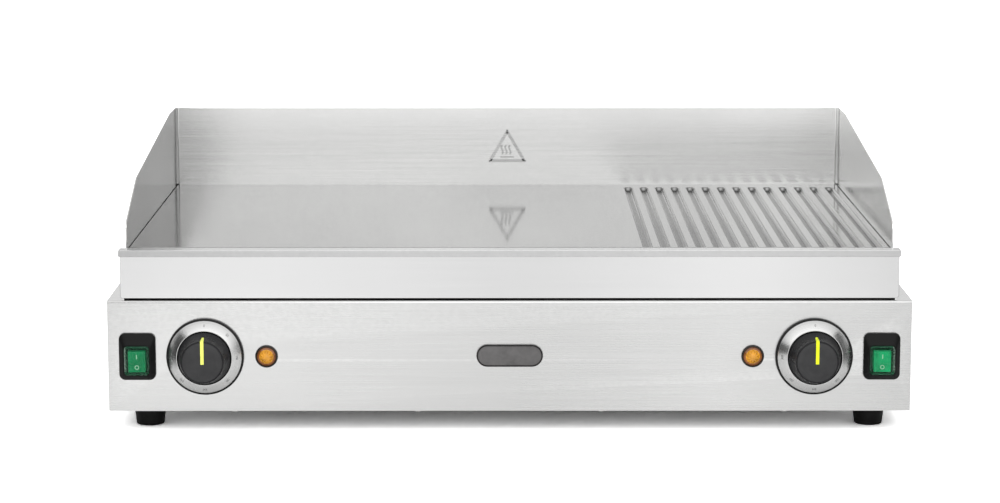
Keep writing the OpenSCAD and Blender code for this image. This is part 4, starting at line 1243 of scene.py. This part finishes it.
class GRIDDLE_OT_lamps(Sided, bpy.types.Operator):
    """Pilot lamps with a rounded bezel and a fluted lens."""

    bl_idname = "griddle.lamps"
    bl_label = "Pilot lamps"

    SHOULDER = 4.05
    COLLAR_TOP = 2.6

    def build(self, side):
        node, lens_node = f"{side}_lamp_bezel", f"{side}_lamp_lens"
        low, high = span_of(node)
        axis, r, lens_r = axis_of(node), radius_of(node), radius_of(lens_node)
        proud = 3.0
        front = low.y + proud * MM
        barrel = r - self.SHOULDER
        deep = (high.y - front) / MM
        bezel = turned_piece(f"{side}_lamp_housing", axis, front, [
            (barrel - 1.2, -deep), (barrel - 0.3, -deep), (barrel, 0.3 - deep), (barrel, 0.0), (r, 0.0),
            (r, 0.9), (r - 0.15, 1.7), (r - 0.5, 2.4), (r - 1.0, 2.85), (r - 1.45, proud),
            (lens_r + 0.25, 2.85), (lens_r + 0.05, 2.4), (lens_r + 0.05, 1.15), (1.0, 1.15),
        ], 50.0)
        fit_out(bezel, "lamp_bezel_black", [node])

        dome = (front - span_of(lens_node)[0].y) / MM
        glass = turned_piece(f"{side}_lamp_glass", axis, front, [
            (lens_r, 1.2), (lens_r, 1.9), (lens_r - 0.3, 2.2), (lens_r * 0.77, 2.5), (lens_r * 0.74, 2.7),
            (lens_r * 0.70, 3.2), (lens_r * 0.67, 3.7), (lens_r * 0.62, 4.3), (lens_r * 0.56, 4.9),
            (lens_r * 0.48, 5.5), (lens_r * 0.38, 6.05), (lens_r * 0.24, 6.5), (lens_r * 0.08, dome),
        ])
        flutes = sizes().lens_flutes
        for vert in glass.data.vertices:
            x, z = vert.co.x - axis[0], vert.co.z - axis[1]
            height = (front - vert.co.y) / MM
            if height > self.COLLAR_TOP:
                depth = 0.2 * min(1.0, (height - self.COLLAR_TOP) / 0.8) * min(1.0, math.hypot(x, z) / MM / 2.0)
                k = 1 - depth * (0.5 - 0.5 * math.cos(flutes * math.atan2(x, z))) ** 2
                vert.co.x, vert.co.z = axis[0] + x * k, axis[1] + z * k
        smooth(glass, 60.0)
        fit_out(glass, "lamp_lens_amber", [lens_node])
        add_finishes(glass, "lamp_collar")
        for face in glass.data.polygons:
            if (front - face.center.y) / MM < self.COLLAR_TOP:
                face.material_index = 1


class GRIDDLE_OT_switches(Sided, bpy.types.Operator):
    """Lit rocker switches in soft frames under clear covers."""

    bl_idname = "griddle.switches"
    bl_label = "Switches"

    FOOT, BORDER, SLACK = 2.6 * MM, 1.3 * MM, 0.1 * MM
    CORNER, WINDOW_CORNER = 0.0055, 0.003
    ROCKER_FACE, REST_TILT = 9.1 * MM, math.radians(7.0)

    def build(self, side):
        self.frame(side)
        self.cover(side)
        self.rocker(side)

    def frame(self, side):
        node = f"{side}_switch_frame"
        low, high = span_of(node)
        inner_low, inner_high = span_of(f"{side}_switch_cover")
        foot = self.FOOT
        obj = rounded_block(
            f"{side}_switch_gasket", (low.x, high.y - foot, low.z), (high.x, high.y, high.z), self.CORNER,
        )
        centre = (low + high) / 2
        inner = (inner_low + inner_high) / 2
        wide = (inner_high.x - inner_low.x) / 2 + self.BORDER
        tall = (inner_high.z - inner_low.z) / 2 + self.BORDER
        edit(obj, False)
        select_faces(obj, lambda at, normal: normal.y < -0.9)
        push(0, low.y + foot - high.y, 0)
        bpy.ops.transform.resize(
            value=(wide / (high.x - centre.x), 1, tall / (high.z - centre.z)),
            center_override=(centre.x, low.y, centre.z),
        )
        bpy.ops.transform.translate(value=(0, 0, inner.z - centre.z))
        done()
        slack = self.SLACK
        cut(obj, rounded_block(
            "window_cutter", (inner_low.x - slack, low.y - 0.01, inner_low.z - slack),
            (inner_high.x + slack, high.y + 0.01, inner_high.z + slack), self.WINDOW_CORNER,
        ))
        soften(obj, 0.0011, 4, 20.0)
        fit_out(obj, "switch_frame_rubber", [node])

    def cover(self, side):
        node = f"{side}_switch_cover"
        low, high = span_of(node)
        obj = rounded_block(f"{side}_clear_cover", low, high, self.WINDOW_CORNER)
        edit(obj, False)
        select_edges(obj, lambda a, b: a.y < low.y + 1e-5 and b.y < low.y + 1e-5)
        round_off(0.0009, 4)
        done()
        edit(obj, False)
        select_faces(obj, lambda at, normal: normal.y > 0.9)
        bpy.ops.mesh.delete(type="FACE")
        done()
        outward(obj)
        wall = obj.modifiers.new("Wall", "SOLIDIFY")
        wall.thickness = sizes().cover_wall
        wall.offset = -1
        apply_all(obj)
        smooth(obj, 40.0)
        fit_out(obj, "switch_cover_clear", [node])

    def rocker(self, side):
        node = f"{side}_rocker"
        # The right rocker gets a lighter copy of the green, as painted light.
        finish = "right_rocker_painted_light" if side == "right" else None
        dressed(f"{side}_rocker_cap", node, 0.0004, "rocker_green", 3, node, finish)

        joint = next(j for j in frame["joints"] if j["name"] == f"{side}_rocker_tilt")
        pivot = Vector(joint["pos_m"])
        face = self.ROCKER_FACE
        bar = block("on_bar", (-0.00035, -face - 0.00025, 0.0028), (0.00035, -face + 0.0005, 0.0068))
        deselect()
        bpy.ops.mesh.primitive_torus_add(
            major_radius=0.0017, minor_radius=0.00032, major_segments=32, minor_segments=10,
            location=(0, -face - 0.0001, -0.0052), rotation=(math.pi / 2, 0, 0),
        )
        ring = settle(bpy.context.object)
        marks = join([bar, ring], f"{side}_rocker_marks")
        marks.location = pivot
        marks.rotation_euler = (self.REST_TILT, 0, 0)
        settle(marks)
        smooth(marks, 40.0)
        fit_out(marks, "rocker_green", body=node, finish="rocker_mark")


class GRIDDLE_OT_badge(bpy.types.Operator):
    """Blank badge with a raised rim."""

    bl_idname = "griddle.badge"
    bl_label = "Badge"

    def execute(self, context):
        low, high = span_of("badge")
        plate = rounded_block("blank_badge", low, high, (high.z - low.z) / 2 * 0.995, 20)
        edit(plate, False)
        select_faces(plate, lambda at, normal: normal.y < -0.9)
        bpy.ops.mesh.inset(thickness=0.0013)
        push(0, 0.0007, 0)
        done()
        soften(plate, 0.00022, 3)
        fit_out(plate, "badge_grey", ["badge"])
        add_finishes(plate, "badge_rim")
        for face in plate.data.polygons:
            if face.center.y < low.y + 0.0004 or abs(face.normal.y) < 0.5:
                face.material_index = 1
        return {"FINISHED"}


class GRIDDLE_OT_feet(bpy.types.Operator):
    """Tapered rubber feet with a recess for their screws."""

    bl_idname = "griddle.feet"
    bl_label = "Feet"

    TAPER, RECESS_RADIUS, RECESS_DEPTH = 0.0025, 0.006, 0.008

    def execute(self, context):
        nodes = ("front_left_foot", "front_right_foot", "rear_left_foot", "rear_right_foot")
        low, high = span_of(nodes[0])
        at = middle(nodes[0])
        first = self.foot(at, (high.x - low.x) / 2, high.z)
        for node in nodes[1:]:
            fit_out(duplicate(first, f"{node}_pad", middle(node) - at), "foot_rubber", [node])
        first.name = first.data.name = f"{nodes[0]}_pad"
        fit_out(first, "foot_rubber", nodes[:1])
        return {"FINISHED"}

    def foot(self, at, top_r, height):
        deselect()
        bpy.ops.mesh.primitive_cone_add(
            vertices=64, radius1=top_r - self.TAPER, radius2=top_r, depth=height,
            location=(at.x, at.y, height / 2),
        )
        obj = settle(bpy.context.object)
        edit(obj, False)
        select_faces(obj, lambda centre, normal: normal.z < -0.9)
        bpy.ops.mesh.inset(thickness=top_r - self.TAPER - self.RECESS_RADIUS)
        push(0, 0, self.RECESS_DEPTH)
        done()
        return soften(obj, 0.0011, 4)


class GRIDDLE_OT_screws(bpy.types.Operator):
    """Pan head screws with a cross recess, below, behind and on the feet."""

    bl_idname = "griddle.screws"
    bl_label = "Screws"

    def execute(self, context):
        heads = {"base_screws": "z", "back_screws": "y", "guard_screws": "z"}
        for node, axis in heads.items():
            flip = -1 if node == "base_screws" else 1
            made = [self.screw(low, high, axis, flip) for low, high in loose_parts(node)]
            obj = join(made, node.replace("screws", "pan_heads"))
            smooth(obj, 30.0)
            fit_out(obj, "fastener_zinc", [node])
        return {"FINISHED"}

    def screw(self, low, high, axis, flip):
        """A domed head at the outer end of the box and a shank along the rest of it."""
        at = (low + high) / 2
        head_r = (high.x - low.x) / 2
        tall = high[2 if axis == "z" else 1] - low[2 if axis == "z" else 1]
        thick = min(0.0022, tall * 0.3)
        shank_r = head_r * 0.5
        outline = [
            (shank_r * 0.5, 0), (shank_r, shank_r * 0.5), (shank_r, tall - thick), (head_r, tall - thick),
            (head_r, tall - thick * 0.55), (head_r * 0.93, tall - thick * 0.28),
            (head_r * 0.75, tall - thick * 0.08), (head_r * 0.45, tall),
        ]
        obj = turned("pan_head", (0, 0), 0, [(r / MM, h / MM) for r, h in outline], 28)
        close_back(obj)
        for size in ((0.36, 0.09), (0.09, 0.36)):
            w, d = (head_r * 1.3 * k for k in size)
            cut(obj, block("cross", (-w, -tall - 0.001, -d), (w, -tall + thick * 0.55, d)))
        if axis == "z":
            obj.rotation_euler = (math.radians(-90 * flip), 0, 0)
            obj.location = (at.x, at.y, low.z if flip > 0 else high.z)
        else:
            obj.rotation_euler = (0, 0, math.pi)
            obj.location = (at.x, low.y, at.z)
        return settle(obj)


class GRIDDLE_OT_back_fittings(bpy.types.Operator):
    """Cable gland, bonding stud and the inner fittings with broken edges."""

    bl_idname = "griddle.back_fittings"
    bl_label = "Back fittings"

    def execute(self, context):
        for node, name, slot, width in (
            ("cable_gland", "gland_nut", "switch_body_black", 0.0005),
            ("bonding_stud", "bonding_post", "bonding_brass", 0.0003),
            ("terminal_block", "terminal_strip", "thermostat_ceramic", 0.0004),
        ):
            dressed(name, node, width, slot)
        return {"FINISHED"}


class GriddlePanel(bpy.types.Panel):
    """Lists what the griddle is made from."""

    bl_idname = "GRIDDLE_PT_build"
    bl_label = "Griddle"
    bl_space_type = "VIEW_3D"
    bl_region_type = "UI"
    bl_category = "Griddle"

    def draw(self, context):
        for owner in (context.scene.griddle_sizes, context.scene.griddle_colours, context.scene.griddle_studio):
            box = self.layout.box()
            for prop in owner.__annotations__:
                box.prop(owner, prop)
        for operator in OPERATORS:
            self.layout.operator(operator.bl_idname)


OPERATORS = (
    GRIDDLE_OT_stage,
    GRIDDLE_OT_finishes,
    GRIDDLE_OT_cabinet,
    GRIDDLE_OT_splash_guard,
    GRIDDLE_OT_plate,
    GRIDDLE_OT_tray,
    GRIDDLE_OT_dials,
    GRIDDLE_OT_knobs,
    GRIDDLE_OT_lamps,
    GRIDDLE_OT_switches,
    GRIDDLE_OT_badge,
    GRIDDLE_OT_feet,
    GRIDDLE_OT_screws,
    GRIDDLE_OT_back_fittings,
)
CLASSES = (GriddleSizes, GriddleColours, GriddleStudio, *OPERATORS, GriddlePanel)


def register():
    for cls in CLASSES:
        bpy.utils.register_class(cls)
    bpy.types.Scene.griddle_sizes = PointerProperty(type=GriddleSizes)
    bpy.types.Scene.griddle_colours = PointerProperty(type=GriddleColours)
    bpy.types.Scene.griddle_studio = PointerProperty(type=GriddleStudio)


def unregister():
    del bpy.types.Scene.griddle_studio
    del bpy.types.Scene.griddle_colours
    del bpy.types.Scene.griddle_sizes
    for cls in reversed(CLASSES):
        bpy.utils.unregister_class(cls)


def main():
    register()
    for operator in OPERATORS:
        group_name, action = operator.bl_idname.split(".")
        getattr(getattr(bpy.ops, group_name), action)()


if __name__ == "__main__":
    main()
